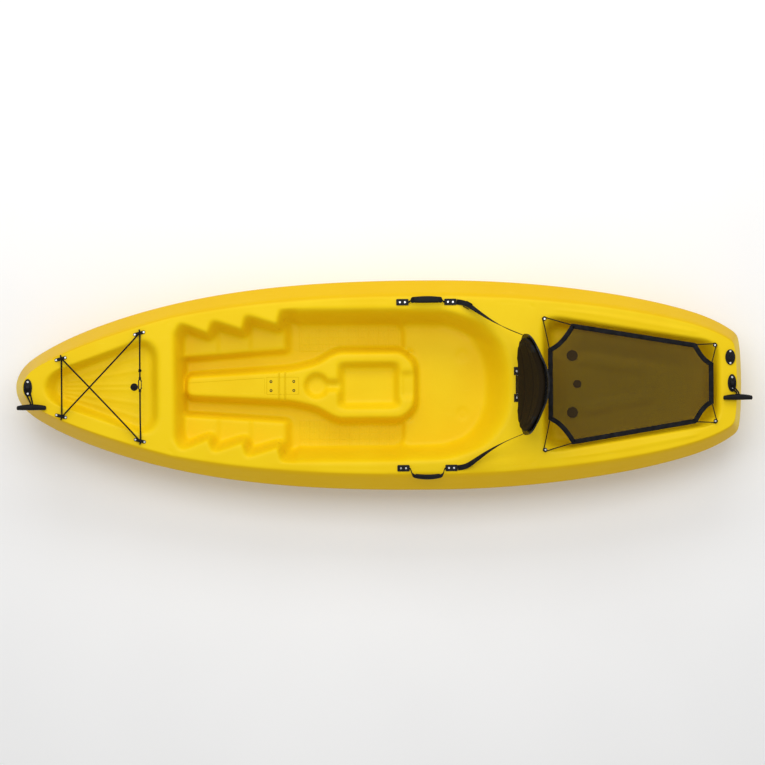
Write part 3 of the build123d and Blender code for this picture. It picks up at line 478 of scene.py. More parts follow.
def hull_finish(colour, mottle_and_shade_colour):
    """Rotomoulded polyethylene with its grain, waffle heel pads and the ridge's panel lines, with painted shade in
    the ridge's ring and grooves and on the outward-facing sides.
    """
    material, tree, surface, spots = start_finish("hull_polyethylene", IOR=1.5, Specular_IOR_Level=0.10)
    place_out = spots.outputs["Object"]
    grain = group_node(tree, "moulded_surface",
        {"Place": place_out, "Grain Scale": 1100.0, "Mottle Scale": 5.0})
    parts = place(tree, "ShaderNodeSeparateXYZ", {0: place_out})
    x, z = parts.outputs[0], parts.outputs[2]
    side = calc(tree, "ABSOLUTE", parts.outputs[1])

    pad_depth = inside_wedge(tree, x, side, -0.306, 0.082, 0.231, 0.231, 0.128)
    low_down = remap(tree, z, 0.128, 0.118)
    pad = calc(tree, "MULTIPLY", remap(tree, pad_depth, 0.0, 0.006), low_down)
    ribs = calc(tree, "SINE", calc(tree, "MULTIPLY", x, 2 * pi / 0.0095))
    rows = calc(tree, "ABSOLUTE", calc(tree, "SINE", calc(tree, "MULTIPLY", side, pi / 0.026)))
    cells = calc(tree, "ABSOLUTE", calc(tree, "SINE", calc(tree, "MULTIPLY", x, pi / 0.038)))
    waffle = calc(tree, "ADD", calc(tree, "MULTIPLY", remap(tree, ribs, -0.5, 0.6), 0.4), 0.6)
    waffle = calc(tree, "MULTIPLY", waffle, remap(tree, rows, 0.05, 0.3, 0.35, 1.0))
    waffle = calc(tree, "MULTIPLY", waffle, remap(tree, cells, 0.03, 0.2, 0.2, 1.0))
    raised = calc(tree, "MULTIPLY", waffle, pad)

    panel = inside_wedge(tree, x, side, -0.720, -0.432, 0.014, 0.031)
    holes = inside_wedge(tree, x, side, -0.424, -0.303, 0.0325, 0.0325)
    on_top = calc(tree, "MULTIPLY", remap(tree, z, 0.188, 0.192), remap(tree, z, 0.215, 0.205))
    sunk = remap(tree, panel, -0.0005, 0.0012)
    ring = remap(tree, calc(tree, "ABSOLUTE", holes), 0.0016, 0.0002)
    grooves = [calc(tree, "ABSOLUTE", calc(tree, "SUBTRACT", x, at)) for at in (-0.3775, -0.3546)]
    groove = remap(tree, calc(tree, "MINIMUM", *grooves), 0.0048, 0.0008)
    cut = calc(tree, "ADD", calc(tree, "MULTIPLY", sunk, 0.9), calc(tree, "MULTIPLY", ring, 0.8))
    groove = calc(tree, "MULTIPLY", groove, on_top)
    cut = calc(tree, "MULTIPLY", calc(tree, "ADD", cut, calc(tree, "MULTIPLY", groove, 2.2)), on_top)
    relief = calc(tree, "SUBTRACT", calc(tree, "MULTIPLY", raised, 1.0), cut)
    height = calc(tree, "ADD", relief, calc(tree, "MULTIPLY", grain.outputs["Grain"], 0.10))
    raise_bump(tree, surface, height, 0.001)

    mottle = remap(tree, grain.outputs["Mottle"], 0.3, 0.7)
    colour_out = blend_colours(tree, calc(tree, "MULTIPLY", mottle, 0.35), colour, mottle_and_shade_colour)
    # Painted shade: the ridge's ring and cross grooves are darkened towards the mottle and shade colour.
    lines = calc(tree, "MULTIPLY", calc(tree, "ADD", ring, groove, clamp=True), on_top)
    colour_out = blend_colours(tree, calc(tree, "MULTIPLY", lines, 0.45), colour_out, mottle_and_shade_colour)
    # Painted shade: faces turned outwards, away from the middle line, are darkened towards a browner side shade
    # colour, except in the strip that holds the ridge and the tank floor.
    facing = place(tree, "ShaderNodeSeparateXYZ", {0: spots.outputs["Normal"]}).outputs[1]
    outward_shade = calc(tree, "MULTIPLY", facing, calc(tree, "SIGN", parts.outputs[1]))
    middle = calc(tree, "MINIMUM", calc(tree, "ADD", x, 0.76), calc(tree, "SUBTRACT", 1.10, x))
    middle = calc(tree, "MINIMUM", middle, calc(tree, "SUBTRACT", 0.155, side))
    outward_shade = calc(tree, "MULTIPLY", outward_shade, remap(tree, middle, 0.004, 0.0))
    side_shade_colour = (mottle_and_shade_colour[0] * 0.86, mottle_and_shade_colour[1] * 0.76, 0.0, 1.0)
    colour_out = blend_colours(tree, calc(tree, "MULTIPLY", remap(tree, outward_shade, 0.15, 0.6), 0.6),
        colour_out, side_shade_colour)
    pale = (min(1.0, colour[0] * 1.05), min(1.0, colour[1] * 1.12), colour[2] + 0.05, 1.0)
    colour_out = blend_colours(tree, calc(tree, "MULTIPLY", grain.outputs["Scuffs"], 0.16), colour_out, pale)
    tree.links.new(colour_out, surface.inputs["Base Color"])
    rough = remap(tree, grain.outputs["Mottle"], 0.25, 0.75, 0.33, 0.43)
    rough = calc(tree, "ADD", rough, calc(tree, "MULTIPLY", grain.outputs["Scuffs"], 0.12))
    tree.links.new(rough, surface.inputs["Roughness"])
    return material


def moulded_finish(name, dark, light, rough, metal=0.0, bump=0.00016, grain_scale=1400.0):
    """Moulded plastic, rubber or metal with fine grain and faint wear."""
    material, tree, surface, spots = start_finish(name, Metallic=metal,
        Specular_IOR_Level=0.5 if metal else 0.14)
    grain = group_node(
        tree, "moulded_surface",
        {"Place": spots.outputs["Object"], "Grain Scale": grain_scale, "Mottle Scale": 40.0},
    )
    mottle = remap(tree, grain.outputs["Mottle"], 0.3, 0.7)
    worn = calc(tree, "ADD", calc(tree, "MULTIPLY", mottle, 0.5),
        calc(tree, "MULTIPLY", grain.outputs["Scuffs"], 0.5))
    tree.links.new(blend_colours(tree, worn, dark, light), surface.inputs["Base Color"])
    tree.links.new(remap(tree, grain.outputs["Mottle"], 0.2, 0.8, rough - 0.06, rough + 0.08),
        surface.inputs["Roughness"])
    raise_bump(tree, surface, grain.outputs["Grain"], bump)
    return material


def cord_finish(name, dark, light, pitch):
    material, tree, surface, spots = start_finish(name, Roughness=0.72, Sheen_Weight=0.01,
        Specular_IOR_Level=0.08)
    braid = group_node(tree, "braid", {"Place": spots.outputs["UV"], "Pitch": pitch})
    # Painted shade and highlight: the braid's raised strands are lighter and the gaps between them darker, with
    # random flecks.
    shade = calc(tree, "MULTIPLY", remap(tree, braid.outputs["Height"], -0.6, 0.8), 0.6)
    shade = calc(tree, "ADD", shade, calc(tree, "MULTIPLY", braid.outputs["Fleck"], 0.3))
    tree.links.new(blend_colours(tree, shade, dark, light), surface.inputs["Base Color"])
    raise_bump(tree, surface, braid.outputs["Height"], 0.0004)
    return material


def webbing_finish(name, dark, light, stitched):
    """Flat woven webbing, with two rows of stitches where it is sewn as a binding."""
    material, tree, surface, spots = start_finish(name, Roughness=0.75, Sheen_Weight=0.01,
        Specular_IOR_Level=0.08)
    weave = group_node(tree, "plain_weave", {"Place": spots.outputs["UV"], "Pitch": 0.0011, "Thread": 0.9})
    parts = place(tree, "ShaderNodeSeparateXYZ", {0: spots.outputs["UV"]})
    rib = calc(tree, "SINE", calc(tree, "MULTIPLY", parts.outputs[0], 2 * pi / 0.0045))
    height = calc(tree, "ADD", weave.outputs["Height"], calc(tree, "MULTIPLY", rib, 0.35))
    colour = blend_colours(tree, remap(tree, weave.outputs["Shade"], 0.3, 0.7), dark, light)
    if stitched:
        rows = [calc(tree, "ABSOLUTE", calc(tree, "SUBTRACT", parts.outputs[0], at)) for at in (0.0035,
            0.0125)]
        row = remap(tree, calc(tree, "MINIMUM", *rows), 0.0007, 0.0003)
        dash = remap(tree, calc(tree, "SINE", calc(tree, "MULTIPLY", parts.outputs[1], 2 * pi / 0.005)),
            -0.3, 0.1)
        stitch = calc(tree, "MULTIPLY", row, dash)
        height = calc(tree, "ADD", height, calc(tree, "MULTIPLY", stitch, 1.5))
        colour = blend_colours(tree, calc(tree, "MULTIPLY", stitch, 0.6), colour, (0.09, 0.09, 0.09, 1.0))
    tree.links.new(colour, surface.inputs["Base Color"])
    raise_bump(tree, surface, height, 0.00025)
    return material


def mesh_finish(name, dark, light, pitch, thread, seen_through):
    """Woven mesh fabric; seen_through lets what lies behind show between its threads."""
    material, tree, surface, spots = start_finish(name, Roughness=0.7, Sheen_Weight=0.01,
        Specular_IOR_Level=0.08)
    weave = group_node(tree, "plain_weave", {"Place": spots.outputs["UV"], "Pitch": pitch, "Thread": thread})
    shade = remap(tree, weave.outputs["Shade"], 0.3, 0.7, 0.35, 0.65)
    tree.links.new(blend_colours(tree, shade, dark, light), surface.inputs["Base Color"])
    raise_bump(tree, surface, weave.outputs["Height"], 0.0004)
    if seen_through:
        tree.links.new(weave.outputs["Cover"], surface.inputs["Alpha"])
    return material


def finish_for(name):
    """The named finish, made the first time it is asked for."""
    if name in FINISHES:
        return FINISHES[name]
    colours = bpy.context.scene.kayak_finishes
    if name == "hull_polyethylene":
        return hull_finish(tuple(colours.hull_colour), tuple(colours.hull_mottle_and_shade_colour))
    black, soft = tuple(colours.trim_colour), tuple(colours.trim_worn_and_lit_colour)
    if name == "black_plastic":
        return moulded_finish(name, black, soft, 0.42)
    if name == "glossy_plastic":
        return moulded_finish(name, black, soft, 0.26, bump=0.00008)
    if name == "black_rubber":
        return moulded_finish(name, black, soft, 0.62, bump=0.0003, grain_scale=900.0)
    if name == "steel":
        return moulded_finish(name, (0.55, 0.55, 0.55, 1.0), (0.78, 0.78, 0.78, 1.0), 0.28, metal=1.0,
            bump=0.00004)
    if name == "black_cord":
        return cord_finish(name, black, soft, 0.0042)
    if name == "black_webbing":
        return webbing_finish(name, black, soft, False)
    if name == "binding_tape":
        return webbing_finish(name, black, soft, True)
    if name == "cover_mesh_fabric":
        return mesh_finish(name, tuple(colours.mesh_colour), tuple(colours.mesh_worn_colour), 0.0032, 0.31,
            True)
    shaded = [tuple(0.27 * v for v in c[:3]) + (1.0,) for c in (colours.mesh_colour,
        colours.mesh_worn_colour)]
    return mesh_finish(name, shaded[0], shaded[1], 0.0024, 0.9, False)


# ---------------------------------------------------------------- hull form
SIDE_SHAPE = (
    (0.0, 0.0), (0.008, 0.167), (0.036, 0.33), (0.118, 0.59), (0.228, 0.805), (0.370, 0.95), (0.530, 1.0),
    (0.643, 0.99), (0.804, 0.88), (0.915, 0.72), (0.985, 0.515), (0.9938, 0.46), (0.9975, 0.37), (1.0, 0.0),
)  # share of the length, share of the half beam
WATERLINES = ((0.0, 420.0, 250.0, 0.40), (36.0, 205.0, 105.0, 0.74), (105.0, 82.0, 38.0, 0.92),
    (215.0, 0.0, 0.0, 1.0))


def side_shape():
    """The outline's (length share, width share) at stations that lie closer along the cockpit."""
    points = np.array(SIDE_SHAPE) * (STERN - BOW, HALF_BEAM)
    mirror = points[1:3][::-1] * (1, -1)
    tail = points[-3:-1][::-1] * (1, -1)
    points = np.vstack([mirror, points, tail])
    knots = np.concatenate([[0], np.cumsum(np.linalg.norm(np.diff(points, axis=0), axis=1))])
    at = np.linspace(knots[2], knots[-3], 9000)
    x, y = cubic_through(points[:, 0], at, knots), cubic_through(points[:, 1], at, knots)
    x, y = np.clip(x, 0, STERN - BOW), np.clip(y, 0, HALF_BEAM)
    step = np.hypot(np.diff(x), np.diff(y))
    middle = BOW + (x[1:] + x[:-1]) / 2
    size = bpy.context.scene.kayak_hull.mesh_step / MM
    spacing = np.where((middle > FORE_DECK) & (middle < 520), size, 1.4 * size)
    run = np.concatenate([[0], np.cumsum(step / spacing)])
    even = np.linspace(0, run[-1], int(run[-1]) + 1)
    return np.interp(even, run, x) / (STERN - BOW), np.interp(even, run, y) / HALF_BEAM


def waterline(height):
    """Bow inset, stern inset and half beam share at one height of the topsides, rounded between the chines."""
    z = [w[0] for w in WATERLINES]
    values = []
    for k in (1, 2, 3):
        line = [w[k] for w in WATERLINES]
        smooth = cubic_through(line, np.array([height]), z)[0]
        values.append(0.5 * (smooth + np.interp(height, z, line)))
    values[2] = min(values[2], 1.0)
    return max(values[0], 0.0), max(values[1], 0.0), values[2]


def edge_distance(x, y, outline):
    """Distance from an outline's edge, negative inside it."""
    outline = np.asarray(outline, float)
    nearest = np.full(np.shape(x), 1e12)
    inside = np.zeros(np.shape(x), bool)
    for (ax, ay), (bx, by) in zip(outline, np.roll(outline, -1, axis=0)):
        ex, ey = bx - ax, by - ay
        wx, wy = x - ax, y - ay
        h = np.clip((wx * ex + wy * ey) / max(ex * ex + ey * ey, 1e-9), 0, 1)
        nearest = np.minimum(nearest, (wx - ex * h) ** 2 + (wy - ey * h) ** 2)
        if ay != by:
            inside ^= ((ay > y) != (by > y)) & (x < ex * (y - ay) / ey + ax)
    return np.where(inside, -1, 1) * np.sqrt(nearest)


def rounded(outline, radius, steps=5):
    """The outline with each corner cut back by up to radius and rounded."""
    points = [np.array(p, float) for p in outline]
    result = []
    for i, corner in enumerate(points):
        before, after = points[i - 1] - corner, points[(i + 1) % len(points)] - corner
        back, ahead = np.linalg.norm(before), np.linalg.norm(after)
        cut = min(radius, 0.48 * back, 0.48 * ahead)
        a, b = corner + before * cut / back, corner + after * cut / ahead
        for k in range(steps + 1):
            t = k / steps
            result.append((1 - t) ** 2 * a + 2 * t * (1 - t) * corner + t * t * b)
    return result


def mirrored(points):
    return list(points) + [(x, -y) for x, y in reversed(list(points))]


def wall_share(x, y, floor, rim):
    """0 on a recess floor, 1 outside its rim, and between them up the wall."""
    out, inside = edge_distance(x, y, floor), -edge_distance(x, y, rim)
    share = np.where(inside <= 0, 1.0, np.where(out <= 0, 0.0, out / np.maximum(out + inside, 1e-6)))
    return share


def sink(level, x, y, floor, rim, floor_z, rim_z, ease=0.55):
    """Lowers a surface into a recess with rounded walls."""
    share = wall_share(x, y, floor, rim)
    soft = share * share * (3 - 2 * share)
    share = share + ease * (soft - share)
    return np.where(share < 1, np.minimum(level, floor_z + (rim_z - floor_z) * share), level)


def stroke(x, y, path, half):
    """1 along a path, fading to 0 at half its width."""
    near = np.full(np.shape(x), 1e9)
    for (ax, ay), (bx, by) in zip(path[:-1], path[1:]):
        ex, ey = bx - ax, by - ay
        h = np.clip(((x - ax) * ex + (y - ay) * ey) / (ex * ex + ey * ey), 0, 1)
        near = np.minimum(near, np.hypot(x - ax - ex * h, y - ay - ey * h))
    share = np.clip(1 - near / half, 0, 1)
    return share * share * (3 - 2 * share)


def cockpit_level(level, x, y):
    """The foot rests, heel troughs, leg wells and seat, then the ridge and tray that stand in them."""
    side = np.abs(y)
    zigzag = [
        (-768, PAST), (-768, 200), (-745, 239), (-642, 196), (-625, 248), (-512, 208), (-499, 266), (-379,
            226),
        (-369, 284), (-300, 284), (-300, PAST),
    ]
    terrace = [
        (-738, PAST), (-738, 176), (-722, 206), (-630, 172), (-608, 214), (-500, 184), (-480, 232), (-366,
            203),
        (-352, 244), (-290, 244), (-290, PAST),
    ]
    step = 180.0 - 12.0 * (0.5 + 0.5 * np.tanh((x + 608) / 7)) - 12.0 * (0.5 + 0.5 * np.tanh((x + 486) / 7))
    step = step - 41.0 * (0.5 + 0.5 * np.tanh((x + 345) / 10))
    level = sink(level, x, side, rounded(terrace, 9), rounded(zigzag, 10), step, DECK, 0.4)
    trough = [(-735, PAST), (-735, 100), (-324, 128), (120, 128), (120, PAST)]
    trough_rim = [(-748, PAST), (-748, 108), (-330, 139), (140, 139), (140, PAST)]
    level = sink(level, x, side, trough, rounded(trough_rim, 8), 115.0, np.minimum(level, 180.0), 0.6)
    legs = rounded([(-312, PAST), (-312, 232), (92, 232), (92, PAST)], 40)
    leg_rim = rounded([(-369, PAST), (-369, 284), (122, 284), (122, PAST)], 34)
    level = sink(level, x, side, legs, leg_rim, 115.0, DECK)
    seat = rounded([(88, PAST), (88, 232), (250, 226), (330, 196), (382, 130), (402, 50), (404, PAST)], 30)
    seat_rim = rounded([(62, PAST), (62, 284), (260, 280), (400, 236), (476, 150), (502, 60), (504, PAST)],
        40)
    level = sink(level, x, side, seat, seat_rim, 135.0, DECK, 0.8)

    for spot in (110.0, -110.0):
        around = np.hypot(x - 319, y - spot)
        level = level - 5.0 * np.exp(-(((around - 15) / 4.2) ** 2)) * (level < 160)
    heel = stroke(x, y, [(238, 246), (262, 236), (284, 240), (296, 228)], 26)
    channel = stroke(x, y, [(290, 226), (336, 200), (380, 176), (416, 152)], 22)
    dip = np.maximum(heel, channel)
    level = level - 12.0 * dip * (level < DECK - 4)

    ridge = [(-729, PAST), (-729, 37), (-330, 60), (-235, 82), (-180, 115), (-150, 127), (89, 127),
        (134, 82), (134, PAST)]
    top = rounded(ridge, 26)
    foot = [(-742, PAST), (-742, 49), (-330, 74), (-240, 96), (-186, 129), (-152, 141), (96, 141),
        (149, 88), (149, PAST)]
    foot = rounded(foot, 28)
    share = 1 - wall_share(x, side, top, foot)
    share = share + 0.6 * (share * share * (3 - 2 * share) - share)
    base = np.minimum(level, RIDGE)
    block = np.where(share > 0, base + (RIDGE - base) * share, level)
    level = np.where(level < RIDGE, np.maximum(level, block), level)

    tray_rim = rounded([(-158, PAST), (-158, 86), (84, 86), (84, PAST)], 14)
    tray_floor = rounded([(-130, PAST), (-130, 70), (56, 70), (56, PAST)], 12)
    level = sink(level, x, side, tray_floor, tray_rim, RIDGE - 45.0, RIDGE, 0.5)
    around = np.hypot(x + 235, y)
    cup = np.clip((around - 36.5) / 10.5, 0, 1)
    level = np.where(cup < 1, np.minimum(level, RIDGE - 30.0 + 30.0 * cup * cup * (3 - 2 * cup)), level)
    channel = sink(level, x, side, [(-240, PAST), (-240, 13), (-140, 13), (-140, PAST)],
                   [(-245, PAST), (-245, 20), (-136, 20), (-136, PAST)], RIDGE - 24.0, RIDGE, 0.5)
    level = np.minimum(level, channel)
    saddle = np.clip((x - 78) / 14, 0, 1) * np.clip((141 - x) / 14, 0, 1) * np.clip((52 - side) / 9, 0, 1)
    level = level - 13.0 * saddle * (level > RIDGE - 16)
    return level


def deck_level(x, y):
    """Height of the moulded deck at a spot, in millimetres."""
    deck = deck_height(x)
    side = np.abs(y)
    level = cockpit_level(deck + 0.0, x, y)

    start, end = BOW + 126.0, BOW + 544.0
    well_rim = rounded([(start, PAST), (start, 20), (start + 28, 62), (end - 45, 184), (end, 140),
        (end, PAST)], 34)
    well_floor = rounded(
        [(start + 30, PAST), (start + 30, 14), (start + 52, 40), (end - 62, 156), (end - 28, 118),
            (end - 28, PAST)], 30
    )
    floor_z = float(deck_height((start + end) / 2)) - 60.0
    ribs = np.zeros_like(x)
    for lean in (0.0, 0.2, 0.4):
        ribs = np.maximum(ribs,
            stroke(x, side, [(start + 70, 8 + 60 * lean), (end - 70, 10 + 270 * lean)], 7))
    level = sink(level, x, side, well_floor, well_rim, floor_z + 3.0 * ribs, deck, 0.7)

    rear = STERN - 93.0
    tank_rim = rounded(mirrored([(617, 258), (rear, 157)]), 62)
    tank_floor = rounded(mirrored([(653, 222), (rear - 36, 121)]), 48)
    plateau = edge_distance(x, y, rounded(mirrored([(700, 128), (1066, 66)]), 34))
    raised = 9.0 * np.clip(0.5 - plateau / 16.0, 0, 1)
    hollow = edge_distance(x, y, rounded(mirrored([(660, 92), (1010, 36)]), 30))
    raised = raised - 9.0 * np.clip(0.5 - hollow / 16.0, 0, 1)
    near_plug = np.minimum(np.hypot(x - 735, side - 108), np.hypot(x - 754, y))
    raised = raised * np.clip((near_plug - 26) / 14.0, 0, 1)
    level = sink(level, x, y, tank_floor, tank_rim, TANK_FLOOR + raised, deck, 0.5)

    on_deck = (level > deck - 0.5).astype(float)
    lift = 4.0 * stroke(x, side, [(664, 289), (1188, 193)], 9)
    for px, py, half_x, half_y in ((91, 311, 30, 19), (271, 311, 30, 19)):
        frame_line = np.abs(np.maximum(np.abs(x - px) - half_x, np.abs(side - py) - half_y))
        lift = lift - 1.0 * np.clip(1 - frame_line / 4.0, 0, 1)
    panel = [(292, 326), (430, 322), (556, 304), (584, 288), (598, 262), (606, 196)]
    lift = lift - 1.4 * stroke(x, side, panel, 6.5)
    coaming = [(-800, 190), (-786, 236), (-757, 268), (-650, 286), (-520, 306), (-380, 316), (30, 320)]
    lift = lift - 1.2 * stroke(x, side, coaming, 8.0)
    return level + lift * on_deck


def hull_points():
    """Rings of points round the hull, one ring for each station from bow to stern."""
    share, width = side_shape()
    rings = []
    for bottom in np.linspace(0, 1, 6)[:-1]:
        bow, stern, half = waterline(0.0)
        x = BOW + bow + share * (STERN - BOW - bow - stern)
        y = HALF_BEAM * half * width * bottom
        tracking = 5.0 * np.exp(-(((bottom - 0.6) / 0.12) ** 2)) * np.sin(pi * np.clip(share, 0, 1))
        rings.append((x, y, 0 * x + tracking))
    for height in (0.0, 5, 13, 24, 38, 56, 78, 104, 134, 168, 196, 209):
        bow, stern, half = waterline(height)
        x = BOW + bow + share * (STERN - BOW - bow - stern)
        rings.append((x, HALF_BEAM * half * width, 0 * x + height))
    for rise in (0.0, 0.08, 0.4, 0.72, 0.93):
        x = BOW + share * (STERN - BOW)
        for _ in range(4):
            f = rise * (deck_height(x) - BEAM_Z) / 145.0
            x = BOW + 50 * f + share * (STERN - BOW - 102 * f)
        y = (HALF_BEAM - 120 * f) * width
        rings.append((x, y, BEAM_Z + 145.0 * f))
    x = BOW + share * (STERN - BOW)
    for _ in range(6):
        f = (deck_height(x) - BEAM_Z) / 145.0
        x = BOW + 50 * f + share * (STERN - BOW - 102 * f)
    half = (HALF_BEAM - 120 * f) * width
    across = bpy.context.scene.kayak_hull.rows_across
    spread = np.concatenate([[0.987, 0.965], np.linspace(0.93, 0.0, across // 2)])
    deck_rings = [(x, half * v) for v in spread]
    xs = np.stack([p[0] for p in deck_rings])
    ys = np.stack([p[1] for p in deck_rings])
    both_x = np.vstack([xs, xs[:-1][::-1]])
    both_y = np.vstack([ys, -ys[:-1][::-1]])
    level = deck_level(both_x, both_y)
    kept = level.copy()
    for _ in range(4):
        level[1:-1] = 0.25 * level[:-2] + 0.5 * level[1:-1] + 0.25 * level[2:]
        level[:, 1:-1] = 0.25 * level[:, :-2] + 0.5 * level[:, 1:-1] + 0.25 * level[:, 2:]
    edge = np.abs(both_y) > 0.9 * np.abs(half)[None, :]
    level = np.where(edge, np.minimum(kept, deck_height(both_x)), level)
    lower = [np.stack(r, axis=1) for r in rings]
    top = [np.stack((both_x[i], both_y[i], level[i]), axis=1) for i in range(len(both_x))]
    other = [r * (1, -1, 1) for r in lower[1:][::-1]]
    return np.stack(lower + top + other)


class KAYAK_OT_hull(bpy.types.Operator):
    """Moulds the hull: topsides, deck, cockpit, wells and the holes through it"""

    bl_idname = "kayak.hull"
    bl_label = "Hull"

    def execute(self, context):
        rows = hull_points()
        around, stations = rows.shape[:2]
        faces = grid_faces(around, stations, close_rows=True)
        piece = make_mesh("moulded_hull", rows.reshape(-1, 3), faces, finish_for("hull_polyethylene"))
        mesh = bmesh.new()
        mesh.from_mesh(piece.data)
        bmesh.ops.remove_doubles(mesh, verts=mesh.verts, dist=0.00002)
        bmesh.ops.dissolve_degenerate(mesh, edges=mesh.edges, dist=0.00001)
        bmesh.ops.recalc_face_normals(mesh, faces=mesh.faces)
        mesh.to_mesh(piece.data)
        mesh.free()

        cutter = bmesh.new()
        holes = []
        for name in sorted(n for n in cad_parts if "scupper_plug" in n):
            low, high = node_box(name)
            holes.append(((low + high) / 2, (high[0] - low[0]) / 2 - 4.0, -20.0, DECK + 60.0))
        low, high = node_box("drain_housing")
        holes.append(((low + high) / 2, 13.0, DECK - 30.0, DECK + 40.0))
        for middle, radius, bottom, top in holes:
            ends = []
            for height in (bottom, top):
                ends.append([
                    cutter.verts.new((
                        (middle[0] + radius * cos(2 * pi * k / 40)) * MM,
                        (middle[1] + radius * sin(2 * pi * k / 40)) * MM, height * MM,
                    ))
                    for k in range(40)
                ])
            for k in range(40):
                cutter.faces.new((ends[0][k], ends[0][(k + 1) % 40], ends[1][(k + 1) % 40], ends[1][k]))
            cutter.faces.new(ends[0][::-1])
            cutter.faces.new(ends[1])
        drill = make_mesh("hole_cutter", [], [])
        cutter.to_mesh(drill.data)
        cutter.free()
        add_modifier(piece, "BOOLEAN", operation="DIFFERENCE", object=drill, solver="EXACT")
        bake_modifiers(piece)
        bpy.data.objects.remove(drill)
        piece.data.polygons.foreach_set("use_smooth", [True] * len(piece.data.polygons))
        piece.data.set_sharp_from_angle(angle=radians(62))
        fit_piece(piece, "hull", "hull_polyethylene", "hull")
        return {"FINISHED"}


# ---------------------------------------------------------------- fittings kept from the frame
KEPT_FINISHES = {
    "accessory_inserts": "black_plastic",
    "backrest_hinge_base": "black_plastic",
    "backrest_hinge_pin": "steel",
    "backrest_hinge_screws": "steel",
    "backrest_shell": "glossy_plastic",
    "bow_pad_eye": "black_plastic",
    "bow_pad_eye_screws": "steel",
    "bow_scupper_plug": "black_rubber",
    "bungee_hook": "black_plastic",
    "bungee_hook_gate": "black_plastic",
    "bungee_pad_eye_front_port": "black_plastic",
    "bungee_pad_eye_front_starboard": "black_plastic",
    "bungee_pad_eye_rear_port": "black_plastic",
    "bungee_pad_eye_rear_starboard": "black_plastic",
    "bungee_pad_eye_screws": "steel",
    "carry_handle_screws": "steel",
    "cover_stud_front_port": "black_plastic",
    "cover_stud_front_starboard": "black_plastic",
    "cover_stud_rear_port": "black_plastic",
    "cover_stud_rear_starboard": "black_plastic",
    "cover_stud_screws": "steel",
    "drain_housing": "black_plastic",
    "drain_housing_screws": "steel",
    "drain_plug": "black_plastic",
    "drain_seal": "black_rubber",
    "port_handle_plate_front": "black_plastic",
    "port_handle_plate_rear": "black_plastic",
    "starboard_handle_plate_front": "black_plastic",
    "starboard_handle_plate_rear": "black_plastic",
    "stern_pad_eye": "black_plastic",
    "stern_pad_eye_rivets": "steel",
    "strap_buckle": "glossy_plastic",
    "tank_scupper_plug_middle": "black_rubber",
    "tank_scupper_plug_port": "black_rubber",
    "tank_scupper_plug_starboard": "black_rubber",
}


class KAYAK_OT_fittings(bpy.types.Operator):
    """Finishes the moulded and turned fittings, screws, studs, plugs and plates"""

    bl_idname = "kayak.fittings"
    bl_label = "Deck fittings"

    def execute(self, context):
        for name, finish in KEPT_FINISHES.items():
            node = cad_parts[name]
            node.data.materials.clear()
            node.data.materials.append(finish_for(finish))
            add_modifier(node, "BEVEL", width=0.0004, segments=2, limit_method="ANGLE",
                angle_limit=radians(40))
            add_modifier(node, "WEIGHTED_NORMAL", keep_sharp=True)
        return {"FINISHED"}


# ---------------------------------------------------------------- carry toggles
class KAYAK_OT_toggles(bpy.types.Operator):
    """Makes the bow and stern carry toggles with their cord loops"""

    bl_idname = "kayak.toggles"
    bl_label = "Carry toggles"

    def execute(self, context):
        bow_x = BOW + 62.0
        stern_x = STERN - 46.0
        for end, x, reach, shift in (("bow", bow_x, 74.0, 14.0), ("stern", stern_x, 54.0, 20.0)):
            stop = -reach + 17.5
            route = [
                (shift + 3.5, -reach, 13.0), (shift + 3.5, stop, 13.0), (8.6, -17.0, 8.0), (8.6, 0, 7.5),
                (-8.6, 0, 7.5), (-8.6, -17.0, 8.0), (shift - 3.5, stop, 13.0), (shift - 3.5, -reach, 13.0),
            ]
            points = []
            for a, b in zip(route, route[1:]):
                points += [a, tuple((np.array(a) + np.array(b)) / 2)]
            points = [deck_spot(x, 0, *p) for p in points + [route[-1]]]
            cord = round_cord(f"{end}_loop_cord", points, 3.0, finish_for("black_cord"), step=2.0)
            fit_piece(cord, f"{end}_toggle_body", "black_cord", f"{end}_handle_cord")

            middle = Vector(deck_spot(x, 0, shift, -reach, 13.0))
            along = (Vector(deck_spot(x, 0, shift + 1, -reach, 13.0)) - middle).normalized()
            profile = []
            for k in range(57):
                t = -1 + 2 * k / 56
                radius = 11.4 - 4.0 * t * t
                if abs(t) > 0.93:
                    radius *= max(0.0, 1 - ((abs(t) - 0.93) / 0.07) ** 2) ** 0.5 * 0.75 + 0.25
                if 0.2 < abs(t) < 0.86:
                    radius -= 0.7 * (0.5 + 0.5 * cos(2 * pi * abs(t) * 55.0 / 6.0)) ** 3
                profile.append((t * 55.0, radius))
            grip = turned(f"{end}_toggle_grip", profile, middle, along, finish_for("black_rubber"))
            for vertex in grip.data.vertices:
                t = (vertex.co / MM - middle).dot(along) / 55.0
                vertex.co.y += (1.6 - 3.2 * t * t) * MM * 0.9
            fit_piece(grip, f"{end}_toggle_body", "black_rubber", f"{end}_toggle")
        return {"FINISHED"}


